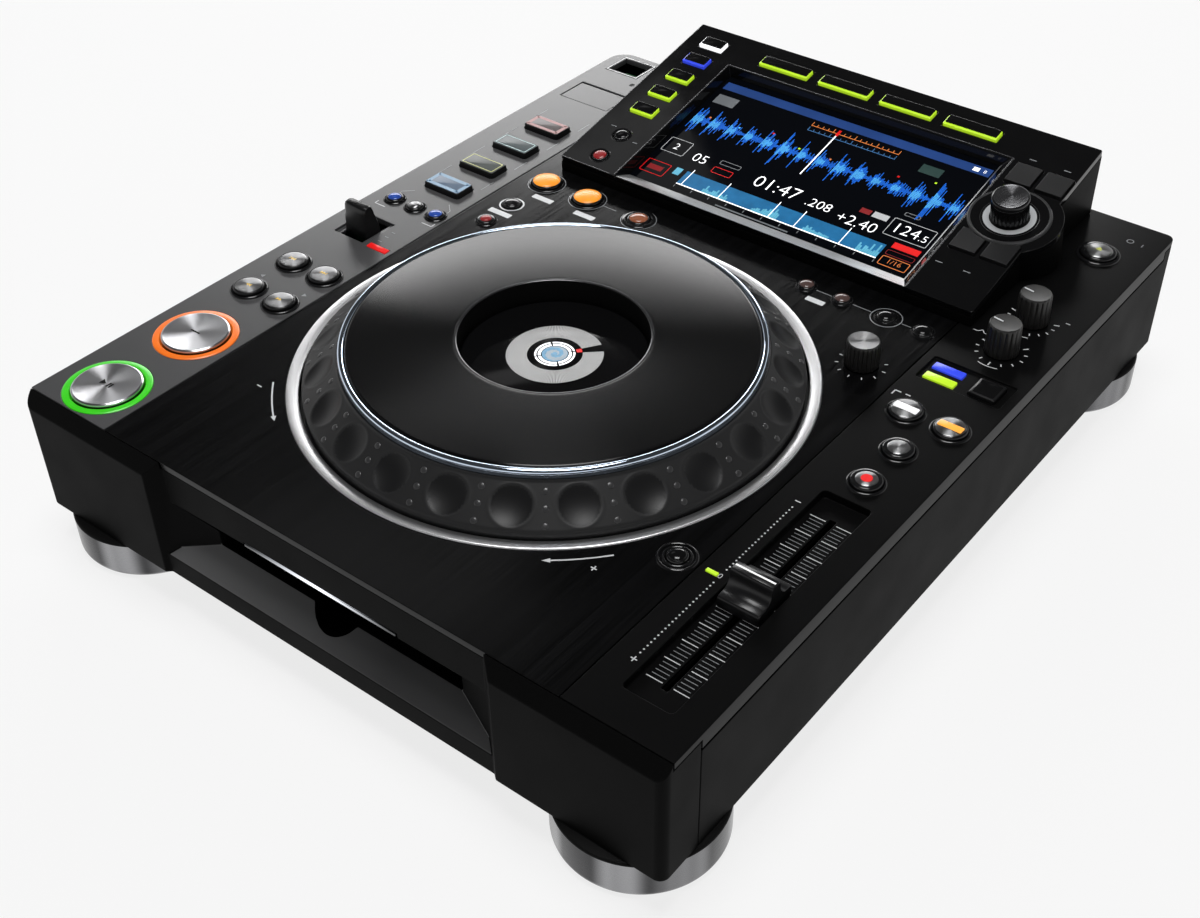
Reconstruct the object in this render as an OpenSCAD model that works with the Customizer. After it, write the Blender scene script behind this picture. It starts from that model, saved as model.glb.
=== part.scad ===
// Tabletop disc player with a jog wheel, a tilted colour display and a front loading slot.
// Origin on the table, under the middle of the case. +X right, +Y rear, +Z up. Millimetres.

/* [Case] */
// Width of the case, left to right
body_w = 320; // [314:1:400]
// Depth of the case, front to rear
body_d = 392; // [388:1:480]
// Height of the deck's top face above the table
deck_h = 75; // [74:0.5:90]
// Height of the feet under the case
foot_h = 18.5; // [12:0.5:18.5]
// Radius of a foot
foot_r = 32.5; // [24:0.5:36]
// How far a foot stands out past the case's sides
foot_out_x = 2.5; // [0:0.5:6]
// How far a foot stands out past the case's front and rear
foot_out_y = 4.5; // [4.5:0.5:6]
// Radius of the rounding under a foot
foot_round = 8; // [3:0.5:10]
// Wall of the moulded case
case_wall = 3.6; // [3.2:0.1:4.5]
// Radius of the rear left corner
corner_rear_left = 10; // [4:0.5:14]
// Radius of the other upright corners
corner_small = 4; // [2:0.5:6]
// Depth of the bevel along the front top edge
bevel_d = 5; // [3:0.5:6]
// Height of the bevel along the front top edge
bevel_h = 6; // [4:0.5:8]

/* [Deck] */
// Thickness of the deck panels
skin = 3; // [2.6:0.1:3.6]
// Width of the left deck panel
left_w = 45.6; // [45:0.1:50]
// Width of the right deck panel
right_w = 46; // [45.6:0.1:50]
// Visible seam between two deck panels
seam = 0.5; // [0.3:0.1:0.8]
// Height of the deck panel's skirt at the sides
skirt_h = 7; // [5:0.5:9]
// Thickness of the skirt
skirt_t = 2; // [1.5:0.1:2.4]

/* [Jog wheel] */
// Outer radius of the bright ring round the wheel
jog_r = 108.3; // [90:0.1:109]
// Width of the bright ring
jog_ring_w = 4.4; // [3.5:0.1:6]
// Distance from the case front to the bright ring
jog_front = 33.3; // [30:0.5:40]
// Gap between the bright ring and the wheel
jog_gap = 0.6; // [0.4:0.1:1]
// Width of the sloped grip ring, seen from above
grip_w = 17; // [14:0.5:20]
// Height of the grip ring's upper edge above the deck
grip_h = 14.4; // [12:0.2:16]
// Height of the platter above the deck
platter_h = 18; // [16.5:0.5:20]
// Width of the bright ring round the platter
chrome_w = 2.9; // [2:0.1:4]
// Radius of the window in the platter
window_r = 39.5; // [36:0.5:44]
// Depth of the jog display below the platter
window_d = 10; // [6:0.5:12]
// Number of finger dimples
dimples = 24; // [12:1:24]
// Radius of a finger dimple
dimple_r = 8; // [6:0.5:8.5]
// Depth of a finger dimple
dimple_d = 1.3; // [0.8:0.1:1.6]
// Radius of the fixed column that the wheel turns on
column_r = 28; // [24:0.5:30]
// Radial clearance of the wheel on its bearing
bearing_fit = 0.06; // [0.02:0.01:0.1]

/* [Display] */
// Distance from the left deck seam to the display
disp_left_gap = 11.6; // [4:0.1:20]
// How far the display reaches over the right deck panel
disp_over = 5.7; // [2:0.1:9]
// Length of the display panel along its slope
disp_len = 120; // [118:0.5:130]
// Tilt of the display panel
disp_tilt = 12.16; // [8:0.1:16]
// Height of the panel's front edge above the deck
disp_front_h = 7.6; // [6.6:0.1:10]
// Distance from the display's rear face to the case's rear face
disp_rear_gap = 4.1; // [3:0.1:10]
// Thickness of the glossy panel
panel_t = 3; // [2.5:0.1:4]
// Depth of the screen below the panel
screen_depth = 6; // [4:0.1:7]
// Width of the recess in front of the screen
screen_w = 157.3; // [150:0.1:159]
// Distance from the display's left edge to the screen recess
screen_left = 32.5; // [32:0.1:34]
// Length of the screen recess along the slope
screen_len = 96.3; // [90:0.1:97]
// Wall of the display housing
house_wall = 2.5; // [2:0.1:3]
// Radius of the rotary selector's bulge on the right
bulge_r = 23.5; // [20.5:0.5:24]

/* [Keys] */
// Gap round a key in its hole
key_gap = 0.35; // [0.25:0.05:0.5]
// Travel of a key
key_travel = 1.2; // [0.8:0.1:1.5]
// Height of a plain key above the deck
key_h = 2; // [1.2:0.1:3]
// Radius of the play and cue buttons
play_r = 14.3; // [12:0.1:16]
// Width of the light ring round the play and cue buttons
play_ring_w = 2.9; // [2:0.1:3.2]
// Radius of a search button
search_r = 6.9; // [5:0.1:7.4]
// Length of a pad, left to right
pad_w = 21.7; // [18:0.1:24]
// Depth of a pad, front to rear
pad_d = 11.8; // [10:0.1:14]
// Distance between two pads
pad_pitch = 24.5; // [20:0.1:25]
// Height of a pad above the deck
pad_h = 2.6; // [1.5:0.1:3]

/* [Fader and knobs] */
// Travel of the tempo fader
fader_travel = 100; // [60:1:100]
// Width of the fader recess
fader_w = 20.8; // [19.4:0.1:22]
// Length of the fader recess past the travel
fader_spare = 23.3; // [22:0.1:26]
// Depth of the fader recess
fader_depth = 3.5; // [2.5:0.1:4]
// Radius of the two adjust knobs
knob_r = 7.3; // [6:0.1:8]
// Height of the two adjust knobs
knob_h = 14.5; // [10:0.5:18]
// Radius of the rotary selector's knob
selector_r = 8.5; // [7:0.1:9]
// Height of the rotary selector's knob
selector_h = 10.3; // [8:0.1:13]
// Gap between the display panel and the selector's knob
selector_gap = 1.7; // [1.7:0.1:4]
// Height of the direction lever above the deck
lever_h = 14; // [12:0.5:20]
// Width of the direction lever
lever_w = 13; // [10:0.5:15]

/* [Disc slot] */
// Length of the disc slot
slot_w = 126; // [124:1:130]
// Height of the disc slot
slot_h = 5; // [4.4:0.1:6]
// Depth of the recess in the front's upper lip
lip_d = 5.5; // [4:0.1:6.5]
// Half width of the front recess at the case's front face
recess_half = 88; // [84:1:95]
// Set back of the front face under the recess
sill_set = 1.8; // [0.5:0.1:3]

/* [Hidden] */
$fn = 48;

// Gap between parts that only lie near each other
gap = 0.3;
// Small overlap that lets a cut pass through a face
eps = 0.5;

// Case edges
xl = -body_w / 2;
xr = body_w / 2;
yf = -body_d / 2;
yr = body_d / 2;
deck_z = deck_h;
under_z = deck_z - skin;
floor_z = foot_h;
left_seam = xl + left_w;
right_seam = xr - right_w;

// Front panel
front_depth = 20;
front_back = yf + front_depth;
lip_y = yf + lip_d;
lip_t = 2.6;
lip_bottom = deck_z - 20;
crease_z = deck_z - 46.6;
sill_y = yf + 12;
sill_z = deck_z - 36.5;
slot_z = deck_z - 28;
slot_wall = 3;

// Jog wheel, from the outside in
jog_y = yf + jog_front + jog_r;
well_r = jog_r - 0.3;
well_wall = 2;
well_floor_z = deck_z - 17;
well_floor_t = 2;
wheel_r = jog_r - jog_ring_w - jog_gap;
grip_r = wheel_r - grip_w;
grip_edge_z = deck_z + 1.2;
grip_top_z = deck_z + grip_h;
platter_z = deck_z + platter_h;
chrome_r = grip_r - chrome_w;
web_top_z = deck_z + 0.2;
web_t = 3;
hub_t = 4;
bearing_w = 5;
bearing_r = column_r + bearing_w;
bearing_z = well_floor_z + well_floor_t + 2;
bearing_h = 8;
jog_screen_z = platter_z - window_d;
jog_screen_r = window_r - 1;

// Display, in its own tilted frame: x as in the case, v up the slope, w off the panel
disp_xl = left_seam + disp_left_gap;
disp_xr = right_seam + disp_over;
disp_run = disp_len * cos(disp_tilt);
disp_y1 = yr - disp_rear_gap;
disp_y0 = disp_y1 - disp_run;
disp_z0 = deck_z + disp_front_h;
screen_x0 = disp_xl + screen_left;
screen_x1 = screen_x0 + screen_w;
screen_slope_w = 5.7;
screen_slope_v = 9.7;
selector_x = disp_xr - 14.9;
selector_v = 60.3;
dish_r = 18.5;
glow_r = 12.7;
source_x = disp_xl + 15.9;
source_v = [for (i = [0:4]) 106.9 - 14.93 * i];
source_w = 13.4;
source_d = 7.4;
side_x = disp_xl + 17.2;
side_v = [26.5, 9];
side_key_r = 4;
menu_x = [for (i = [0:3]) disp_xl + 59.8 + 34.6 * i];
menu_v = 106.8;
menu_w = 28;
menu_d = 7;
browse_w = 12.4;
browse_d = 13;
browse_dx = 7.6;
browse_v = [37.8, 87.5];
panel_key_h = 1.6;

// Left deck panel
col_x = xl + 25.7;
play_x = xl + 24.3;
play_y = yf + 23.9;
cue_y = yf + 69.7;
search_y = yf + 106.8;
track_y = yf + 133;
search_dx = 9.7;
search_h = 2.4;
lever_x = xl + 19.5;
lever_y = yf + 174;
lever_slot_w = 19;
lever_slot_d = 20;
lever_pivot_z = deck_z - 9;
lever_pin_r = 1.5;
lever_tilt = 6;
lever_lamp = [xl + 37, yf + 164.8];
bank_dx = 13;
bank_y = yr - 190.9;
bank_r = 4.3;
pad_y = [for (i = [0:3]) yr - 167.6 + pad_pitch * i];
card_x = xl + 6.8;
card_w = 30;
card_y = yr - 60.4;
card_d = 18.7;
card_r = 1.3;
card_pin_r = 0.8;
card_pivot_y = card_y + card_d - card_r;
card_pivot_z = deck_z - 0.2 - card_r;
usb_x = xl + 8.2;
usb_w = 17.4;
usb_y = yr - 20.6;
usb_d = 15;
usb_frame = 1.3;

// Centre plate
row_y = disp_y0 - 15;
loop_x = [left_seam + 15, left_seam + 40];
loop_r = 7.2;
reloop_x = left_seam + 70.2;
reloop_r = 5.6;
slice_x = left_seam + 14.4;
slice_y = [row_y - 25, row_y - 43.3];
slice_r = 4.4;
call_x = [right_seam - 66, right_seam - 48];
call_r = 4;
delete_x = right_seam - 26;
delete_r = 4.3;
memory_x = right_seam - 8.2;
memory_r = 4.4;
reset_x = right_seam - 8.6;
reset_y = yf + 81.5;
reset_r = 4.2;
jog_adjust_x = right_seam - 17;
jog_adjust_y = disp_y0 - 50.2;
jog_adjust_r = 7.3;
jog_adjust_h = 12;

// Right deck panel
eject_x = xr - 22;
eject_y = yr - 35;
eject_r = 8;
knob_x = xr - 21.7;
knob_y = [yr - 101.6, yr - 129];
mode_x0 = right_seam + 4.3;
mode_w = 37.6;
mode_y0 = yr - 165;
mode_d = 17;
mode_depth = 1;
mode_lamp = [14, 4.7];
mode_lamp_x = mode_x0 + 9;
mode_lamp_y = [mode_y0 + 12.1, mode_y0 + 4.4];
mode_key = [11.5, 11.5];
mode_key_x = mode_x0 + 28.2;
mode_key_y = mode_y0 + 8.6;
sync_x = [xr - 32.5, xr - 12.8];
sync_y = yr - 188.5;
sync_r = 7;
range_x = xr - 22.6;
range_y = yr - 211.5;
range_r = 6.4;
master_tempo_y = yr - 235;
master_tempo_r = 6.4;
fader_x = xr - 22.6;
fader_y = yf + 82.6;
fader_len = fader_travel + fader_spare;
fader_floor_t = 1.5;
fader_slot_w = 2.6;
fader_cap_w = 17.4;
fader_cap_d = 20.8;
fader_cap_h = 9;
tempo_lamp = [5, 1.8];
tempo_lamp_x = right_seam + 5.6;

// Inside
board_t = 1.6;
board_z = under_z - 8.4;
pot_h = 6;
pot_r = 6;
shaft_r = 3;
shaft_fit = 0.05;
tray_t = 2;
drive_w = 146;
drive_d = 150;
drive_z0 = floor_z + tray_t + 4;
drive_top = well_floor_z - 1.6;
drive_y0 = front_back + 1;
board_x0 = -70;
board_x1 = 90;
board_y0 = drive_y0 + drive_d + 30;
board_y1 = yr - 26;
screw_r = 1.5;
screw_head_r = 2.8;
screw_xy = [for (sx = [-1, 1], y = [yf + 60, 0, yr - 60]) [sx * (body_w / 2 - 10), y]];

// Rear
rear_w = 250;
rear_z0 = floor_z + 4;
rear_z1 = under_z - 6;
rear_t = 2.5;
rocker_x = -rear_w / 2 + 22;
rocker_z = (rear_z0 + rear_z1) / 2;
rocker_w = 13;
rocker_h = 19;
rocker_pin_r = 1.5;
rocker_tilt = 8;
rocker_y = yr - rear_t - 4;
inlet_x = rocker_x + 40;
lan_x = 46;
usb_b_x = 74;
jack_x = [-22, -6, 14, 104];

// ---------------------------------------------------------------- helpers

// The sliver outside a rounding of radius r, at the corner (cx, cy) of an outline that lies
// towards (dx, dy) from it
module corner_cut(cx, cy, dx, dy, r) {
    difference() {
        translate([min(cx - dx * eps, cx + dx * r), min(cy - dy * eps, cy + dy * r)])
            square(r + eps);
        translate([cx + dx * r, cy + dy * r]) circle(r);
    }
}

// A flat outline from (x0, y0) to (x1, y1), with radii front left, front right, rear right, rear left
module outline(x0, y0, x1, y1, r) {
    difference() {
        translate([x0, y0]) square([x1 - x0, y1 - y0]);
        if (r[0] > 0) corner_cut(x0, y0, 1, 1, r[0]);
        if (r[1] > 0) corner_cut(x1, y0, -1, 1, r[1]);
        if (r[2] > 0) corner_cut(x1, y1, -1, -1, r[2]);
        if (r[3] > 0) corner_cut(x0, y1, 1, -1, r[3]);
    }
}

// A plate from z0, t thick, on an outline
module plate(x0, y0, x1, y1, z0, t, r = [0, 0, 0, 0]) {
    translate([0, 0, z0]) linear_extrude(t) outline(x0, y0, x1, y1, r);
}

// A box from corner to corner
module block(x0, y0, z0, x1, y1, z1) {
    translate([x0, y0, z0]) cube([x1 - x0, y1 - y0, z1 - z0]);
}

// A profile in the Y-Z plane, drawn out along X
module along_x(x0, x1) {
    translate([x0, 0, 0]) rotate([90, 0, 90]) linear_extrude(x1 - x0) children();
}

// An upright tube
module tube(r0, r1, z0, z1) {
    translate([0, 0, z0]) difference() {
        cylinder(h = z1 - z0, r = r1, $fn = 96);
        translate([0, 0, -eps]) cylinder(h = z1 - z0 + 2 * eps, r = r0, $fn = 96);
    }
}

// An upright hole through the deck panels
module hole(x, y, r) {
    translate([x, y, under_z - 12]) cylinder(h = skin + 24, r = r);
}

// Moves children into the display's tilted frame
module on_display() {
    translate([0, disp_y0, disp_z0]) rotate([disp_tilt, 0, 0]) children();
}

// A round key with a retaining flange under the deck
module round_key(x, y, r, h) {
    translate([x, y, 0]) {
        translate([0, 0, under_z - 1.5]) cylinder(h = skin + 1.5 + h - 0.6, r = r);
        translate([0, 0, deck_z + h - 0.6]) cylinder(h = 0.6, r1 = r, r2 = r - 0.5);
        translate([0, 0, under_z - gap - 1.2]) cylinder(h = 1.2, r = r + 1.2);
        key_stem();
    }
}

// The stem that reaches down to a key's switch
module key_stem() {
    translate([0, 0, board_z + board_t + 2 + key_travel + gap])
        cylinder(h = under_z - gap - 1 - (board_z + board_t + 2 + key_travel + gap), r = 2);
}

// Hole for a round key
module key_hole(x, y, r) {
    hole(x, y, r + key_gap);
}

// A row of joined keys: round tops on one carrier bar under the deck
module key_row(points, r, h) {
    x = [for (p = points) p[0]];
    y = [for (p = points) p[1]];
    for (p = points) translate([p[0], p[1], under_z - gap - 1.2])
        cylinder(h = skin + gap + 1.2 + h, r = r);
    block(min(x) - 3, min(y) - 3, under_z - gap - 1.2, max(x) + 3, max(y) + 3, under_z - gap);
    for (p = points) translate([p[0], p[1], 0]) key_stem();
}

// A ribbed knob with its shaft, standing on the deck at (x, y)
module ribbed_knob(x, y, r, h, ribs) {
    translate([x, y, 0]) {
        difference() {
            translate([0, 0, deck_z + 0.6]) cylinder(h = h, r = r, $fn = 64);
            for (i = [0:ribs - 1]) rotate(i * 360 / ribs)
                translate([r + 0.25, 0, deck_z]) cylinder(h = h - 1.2, r = 0.7, $fn = 16);
        }
        translate([0, 0, board_z + board_t + 1]) cylinder(h = deck_z + 1 - board_z - board_t - 1, r = shaft_r);
    }
}

// ---------------------------------------------------------------- case

module base_tray() {
    x1 = body_w / 2 - case_wall - 0.2;
    y0 = front_back + 0.2;
    y1 = yr - case_wall - 0.2;
    color("dimgray") difference() {
        union() {
            plate(-x1, y0, x1, y1, floor_z, tray_t, [0, 0, corner_small, corner_rear_left]);
            for (x = [-x1, x1 - 1.5]) block(x, y0, floor_z, x + 1.5, yr - 16, floor_z + 12);
            for (x = [board_x0 + 6, board_x1 - 6], y = [board_y0 + 6, board_y1 - 6])
                translate([x, y, floor_z]) cylinder(h = tray_t + 5.8, r = 3);
        }
        for (p = screw_xy) translate([p[0], p[1], floor_z - eps]) cylinder(h = 4, r = screw_r + 0.3);
        for (i = [-5:5]) translate([i * 10 - 2, yr - 60, floor_z - eps]) cube([4, 34, 4]);
    }
}

module case_shell() {
    y0 = front_back + 0.2;
    x1 = xr - case_wall;
    color([0.16, 0.16, 0.16]) difference() {
        union() {
            difference() {
                plate(xl, y0, xr, yr, floor_z, under_z - 0.2 - floor_z,
                      [0, 0, corner_small, corner_rear_left]);
                translate([0, 0, -eps]) plate(-x1, y0 - eps, x1, yr - case_wall, floor_z,
                      deck_h, [0, 0, corner_small, corner_rear_left - case_wall]);
            }
            for (p = screw_xy) {
                sx = sign(p[0]);
                translate([p[0], p[1], floor_z + tray_t + 0.2]) cylinder(h = 14, r = 4);
                block(min(p[0], sx * (x1 + 1)), p[1] - 1, floor_z + tray_t + 10.5,
                      max(p[0], sx * (x1 + 1)), p[1] + 1, floor_z + tray_t + 14.2);
            }
        }
        for (s = [-1, 1]) block(min(s * (xr + eps), s * (xr - skirt_t - 0.2)), y0 - eps,
                                deck_z - skirt_h - 0.8,
                                max(s * (xr + eps), s * (xr - skirt_t - 0.2)),
                                yr - corner_rear_left, under_z + eps);
        for (p = screw_xy) translate([p[0], p[1], floor_z]) cylinder(h = 13, r = screw_r + 0.05);
        block(-rear_w / 2 - 0.2, yr - case_wall - eps, rear_z0 - 0.2, rear_w / 2 + 0.2, yr + eps,
              rear_z1 + 0.2);
    }
}

// The front face's outline at the recess, seen from above
module recess_plan() {
    polygon([[-recess_half, yf - eps], [-recess_half + 7, lip_y], [-slot_w / 2, sill_y],
             [-slot_w / 2, front_back + eps], [slot_w / 2, front_back + eps],
             [slot_w / 2, sill_y], [recess_half - 7, lip_y], [recess_half, yf - eps]]);
}

module front_panel() {
    color([0.17, 0.17, 0.16]) difference() {
        intersection() {
            along_x(xl, xr) polygon([[yf, floor_z], [yf, deck_z - bevel_h], [yf + bevel_d, deck_z],
                                     [yf + bevel_d, under_z - 0.2], [front_back, under_z - 0.2],
                                     [front_back, floor_z]]);
            plate(xl, yf, xr, front_back, floor_z, deck_h, [corner_small, corner_small, 0, 0]);
        }
        // The set back upper lip, the gap below it, the sloped sill and the face under it
        intersection() {
            along_x(xl, xr) polygon([[yf - 1, floor_z - 1], [yf + sill_set, floor_z - 1],
                                     [yf + sill_set, crease_z], [sill_y, sill_z],
                                     [front_back + 1, sill_z], [front_back + 1, lip_bottom],
                                     [lip_y, lip_bottom], [lip_y, deck_z + 1], [yf - 1, deck_z + 1]]);
            translate([0, 0, floor_z - 2]) linear_extrude(deck_h) recess_plan();
        }
        // The lip's top is covered by the centre plate
        block(-recess_half + 7, yf - eps, under_z - 0.2, recess_half - 7, front_back, deck_z + eps);
        // Hollows behind the end blocks and under the sill
        for (s = [-1, 1]) block(min(s * (recess_half + 3), s * (xr - 3)), yf + 3, floor_z + 3,
                                max(s * (recess_half + 3), s * (xr - 3)), front_back + eps,
                                under_z - 5);
        for (s = [-1, 1]) block(min(s * (recess_half + 3), s * (xr - 3)), yf + bevel_d, under_z - 6,
                                max(s * (recess_half + 3), s * (xr - 3)), front_back + eps,
                                deck_z + eps);
        block(-slot_w / 2, yf + sill_set + 3, floor_z - eps, slot_w / 2, front_back - 3,
              crease_z - 3);
        // Hollow behind the upper lip
        block(-slot_w / 2, lip_y + lip_t, lip_bottom + 2.4, slot_w / 2, front_back + eps, under_z);
        // Finger notch in the sill
        translate([0, sill_y + 7, crease_z + 3])
            cylinder(h = lip_bottom - crease_z - 4, r = 13);
        // Groove of the slot light
        block(-39.2, lip_y - eps, lip_bottom + 0.4, 39.2, lip_y + 1.6, lip_bottom + 1.9);
    }
}

module left_deck_panel() {
    x1 = left_seam - seam / 2;
    y0 = yf + bevel_d + 0.3;
    color([0.24, 0.24, 0.25]) difference() {
        union() {
            plate(xl, y0, x1, yr, under_z, skin, [0, 0, 0, corner_rear_left]);
            block(xl, front_back + 0.4, deck_z - skirt_h, xl + skirt_t,
                  yr - corner_rear_left - 0.4, under_z);
            for (s = [-1, 1]) difference() {
                block(lever_x + s * (lever_w / 2 + 2) - 1.5, lever_y - 5, lever_pivot_z - 3.5,
                      lever_x + s * (lever_w / 2 + 2) + 1.5, lever_y + 5, under_z);
                translate([lever_x + s * (lever_w / 2 + 2) - 3, lever_y, lever_pivot_z])
                    rotate([0, 90, 0]) cylinder(h = 6, r = lever_pin_r + shaft_fit);
            }
        }
        for (y = [play_y, cue_y]) hole(play_x, y, play_r + 0.7 + play_ring_w + 0.15);
        for (y = [search_y, track_y], s = [-1, 1]) key_hole(col_x + s * search_dx, y, search_r);
        for (i = [-1:1]) key_hole(col_x + i * bank_dx, bank_y, bank_r);
        for (y = pad_y) plate(col_x - pad_w / 2 - key_gap, y - pad_d / 2 - key_gap,
                              col_x + pad_w / 2 + key_gap, y + pad_d / 2 + key_gap,
                              under_z - 1, skin + 2, [2, 2, 2, 2]);
        block(lever_x - lever_w / 2 - 0.3, lever_y - lever_slot_d / 2, under_z - 1,
              lever_x + lever_w / 2 + 0.3, lever_y + lever_slot_d / 2, deck_z + 1);
        block(lever_x - lever_slot_w / 2, lever_y - lever_slot_d / 2, deck_z - 1.2,
              lever_x + lever_slot_w / 2, lever_y + lever_slot_d / 2, deck_z + 1);
        lamp_hole(lever_lamp[0], lever_lamp[1], 11.5, 3.4);
        block(card_x - gap, card_y - gap, under_z - 1, card_x + card_w + gap,
              card_y + card_d + gap, deck_z + 1);
        for (x = [card_x - 2.2, card_x + card_w - 0.4])
            translate([x, card_pivot_y, card_pivot_z]) rotate([0, 90, 0])
                cylinder(h = 2.6, r = card_pin_r + shaft_fit, $fn = 24);
        block(usb_x - usb_frame - 0.15, usb_y - usb_frame - 0.15, under_z - 1,
              usb_x + usb_w + usb_frame + 0.15, usb_y + usb_d + usb_frame + 0.15, deck_z + 1);
    }
}

module centre_plate() {
    x0 = left_seam + seam / 2;
    x1 = right_seam - seam / 2;
    color([0.1, 0.1, 0.11]) difference() {
        plate(x0, yf + bevel_d + 0.3, x1, yr, under_z, skin);
        translate([0, jog_y, under_z - 1]) cylinder(h = skin + 2, r = jog_r + 0.2, $fn = 128);
        block(disp_xl + 3, disp_y0 + 4, under_z - 1, x1 - 3, disp_y1 - 8, deck_z + 1);
        for (x = loop_x) key_hole(x, row_y, loop_r);
        key_hole(reloop_x, row_y, reloop_r);
        for (y = slice_y) key_hole(slice_x, y, slice_r);
        for (x = call_x) key_hole(x, row_y, call_r);
        key_hole(delete_x, row_y, delete_r);
        key_hole(memory_x, row_y, memory_r);
        key_hole(reset_x, reset_y, reset_r);
        hole(jog_adjust_x, jog_adjust_y, shaft_r + 0.4);
    }
}

module right_deck_panel() {
    x0 = right_seam + seam / 2;
    y0 = yf + bevel_d + 0.3;
    color([0.12, 0.12, 0.12]) difference() {
        union() {
            plate(x0, y0, xr, yr, under_z, skin, [0, 0, corner_small, 0]);
            block(xr - skirt_t, front_back + 0.4, deck_z - skirt_h, xr,
                  yr - corner_rear_left - 0.4, under_z);
            block(fader_x - fader_w / 2 - 1.5, fader_y - fader_len / 2 - 1.5,
                  deck_z - fader_depth - fader_floor_t, fader_x + fader_w / 2 + 1.5,
                  fader_y + fader_len / 2 + 1.5, under_z);
        }
        plate(fader_x - fader_w / 2, fader_y - fader_len / 2, fader_x + fader_w / 2,
              fader_y + fader_len / 2, deck_z - fader_depth, fader_depth + 1, [2, 2, 2, 2]);
        block(fader_x - fader_slot_w / 2, fader_y - fader_travel / 2 - 2,
              deck_z - fader_depth - fader_floor_t - 1, fader_x + fader_slot_w / 2,
              fader_y + fader_travel / 2 + 2, deck_z);
        key_hole(eject_x, eject_y, eject_r);
        for (y = knob_y) hole(knob_x, y, shaft_r + 0.4);
        plate(mode_x0, mode_y0, mode_x0 + mode_w, mode_y0 + mode_d, deck_z - mode_depth,
              mode_depth + 1, [1, 1, 1, 1]);
        for (y = mode_lamp_y) lamp_hole(mode_lamp_x, y, mode_lamp[0], mode_lamp[1]);
        plate(mode_key_x - mode_key[0] / 2 - key_gap, mode_key_y - mode_key[1] / 2 - key_gap,
              mode_key_x + mode_key[0] / 2 + key_gap, mode_key_y + mode_key[1] / 2 + key_gap,
              under_z - 1, skin + 2, [1, 1, 1, 1]);
        for (x = sync_x) key_hole(x, sync_y, sync_r);
        key_hole(range_x, range_y, range_r);
        key_hole(range_x, master_tempo_y, master_tempo_r);
        lamp_hole(tempo_lamp_x, fader_y, tempo_lamp[0], tempo_lamp[1]);
    }
}

// Hole for a small rectangular lamp
module lamp_hole(x, y, w, d) {
    block(x - w / 2 - 0.15, y - d / 2 - 0.15, under_z - 1, x + w / 2 + 0.15, y + d / 2 + 0.15,
          deck_z + 1);
}

module feet() {
    color("silver") for (sx = [-1, 1], sy = [-1, 1])
        translate([sx * (body_w / 2 + foot_out_x - foot_r), sy * (body_d / 2 + foot_out_y - foot_r), 0])
            rotate_extrude($fn = 72) {
                square([foot_r - foot_round, foot_h]);
                translate([0, foot_round]) square([foot_r, foot_h - foot_round]);
                intersection() {
                    translate([foot_r - foot_round, foot_round]) circle(foot_round);
                    translate([foot_r - foot_round, 0]) square(foot_round);
                }
            }
}

module screws() {
    color("gray") for (p = screw_xy) translate([p[0], p[1], 0]) {
        difference() {
            translate([0, 0, floor_z - 1.8]) cylinder(h = 1.8, r = screw_head_r);
            translate([0, 0, floor_z - 2]) cylinder(h = 1.2, r = 1.2, $fn = 6);
        }
        translate([0, 0, floor_z - 0.4]) cylinder(h = 12, r = screw_r);
    }
}

module rear_panel() {
    y0 = yr - rear_t;
    zc = (rear_z0 + rear_z1) / 2;
    color([0.12, 0.12, 0.12]) {
        difference() {
            union() {
                block(-rear_w / 2, y0, rear_z0, rear_w / 2, yr, rear_z1);
                block(inlet_x - 15.5, y0 - 16, zc - 12, inlet_x + 15.5, y0, zc + 12);
                block(lan_x - 9.5, y0 - 14, zc - 9, lan_x + 9.5, y0, zc + 9);
                block(usb_b_x - 8, y0 - 14, zc - 8, usb_b_x + 8, y0, zc + 8);
                for (s = [-1, 1]) block(rocker_x + s * (rocker_w / 2 + 2) - 1.6, y0 - 8,
                                        rocker_z - 6, rocker_x + s * (rocker_w / 2 + 2) + 1.6, y0,
                                        rocker_z + 6);
                for (x = jack_x) translate([x, yr - 1, zc]) rotate([-90, 0, 0])
                    cylinder(h = 4.6, r = 4.2);
            }
            block(inlet_x - 12.5, y0 - 13, zc - 9, inlet_x + 12.5, yr + 1, zc + 9);
            block(lan_x - 7, y0 - 11, zc - 6.5, lan_x + 7, yr + 1, zc + 6.5);
            block(usb_b_x - 5.5, y0 - 11, zc - 5, usb_b_x + 5.5, yr + 1, zc + 5);
            block(rocker_x - rocker_w / 2 - 0.4, y0 - 9, rocker_z - rocker_h / 2 - 0.5,
                  rocker_x + rocker_w / 2 + 0.4, yr + 1, rocker_z + rocker_h / 2 + 0.5);
            translate([rocker_x - 12, y0 - 4, rocker_z]) rotate([0, 90, 0])
                cylinder(h = 24, r = rocker_pin_r + shaft_fit);
            for (x = jack_x) translate([x, yr - 1.5, zc]) rotate([-90, 0, 0])
                cylinder(h = 7, r = 1.7);
        }
        for (x = [-6, 0, 6]) block(inlet_x + x - 1, y0 - 13.5, zc - (x == 0 ? 1 : 3),
                                   inlet_x + x + 1, y0 - 3, zc + (x == 0 ? 3 : 1));
    }
}

// ---------------------------------------------------------------- inside

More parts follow.
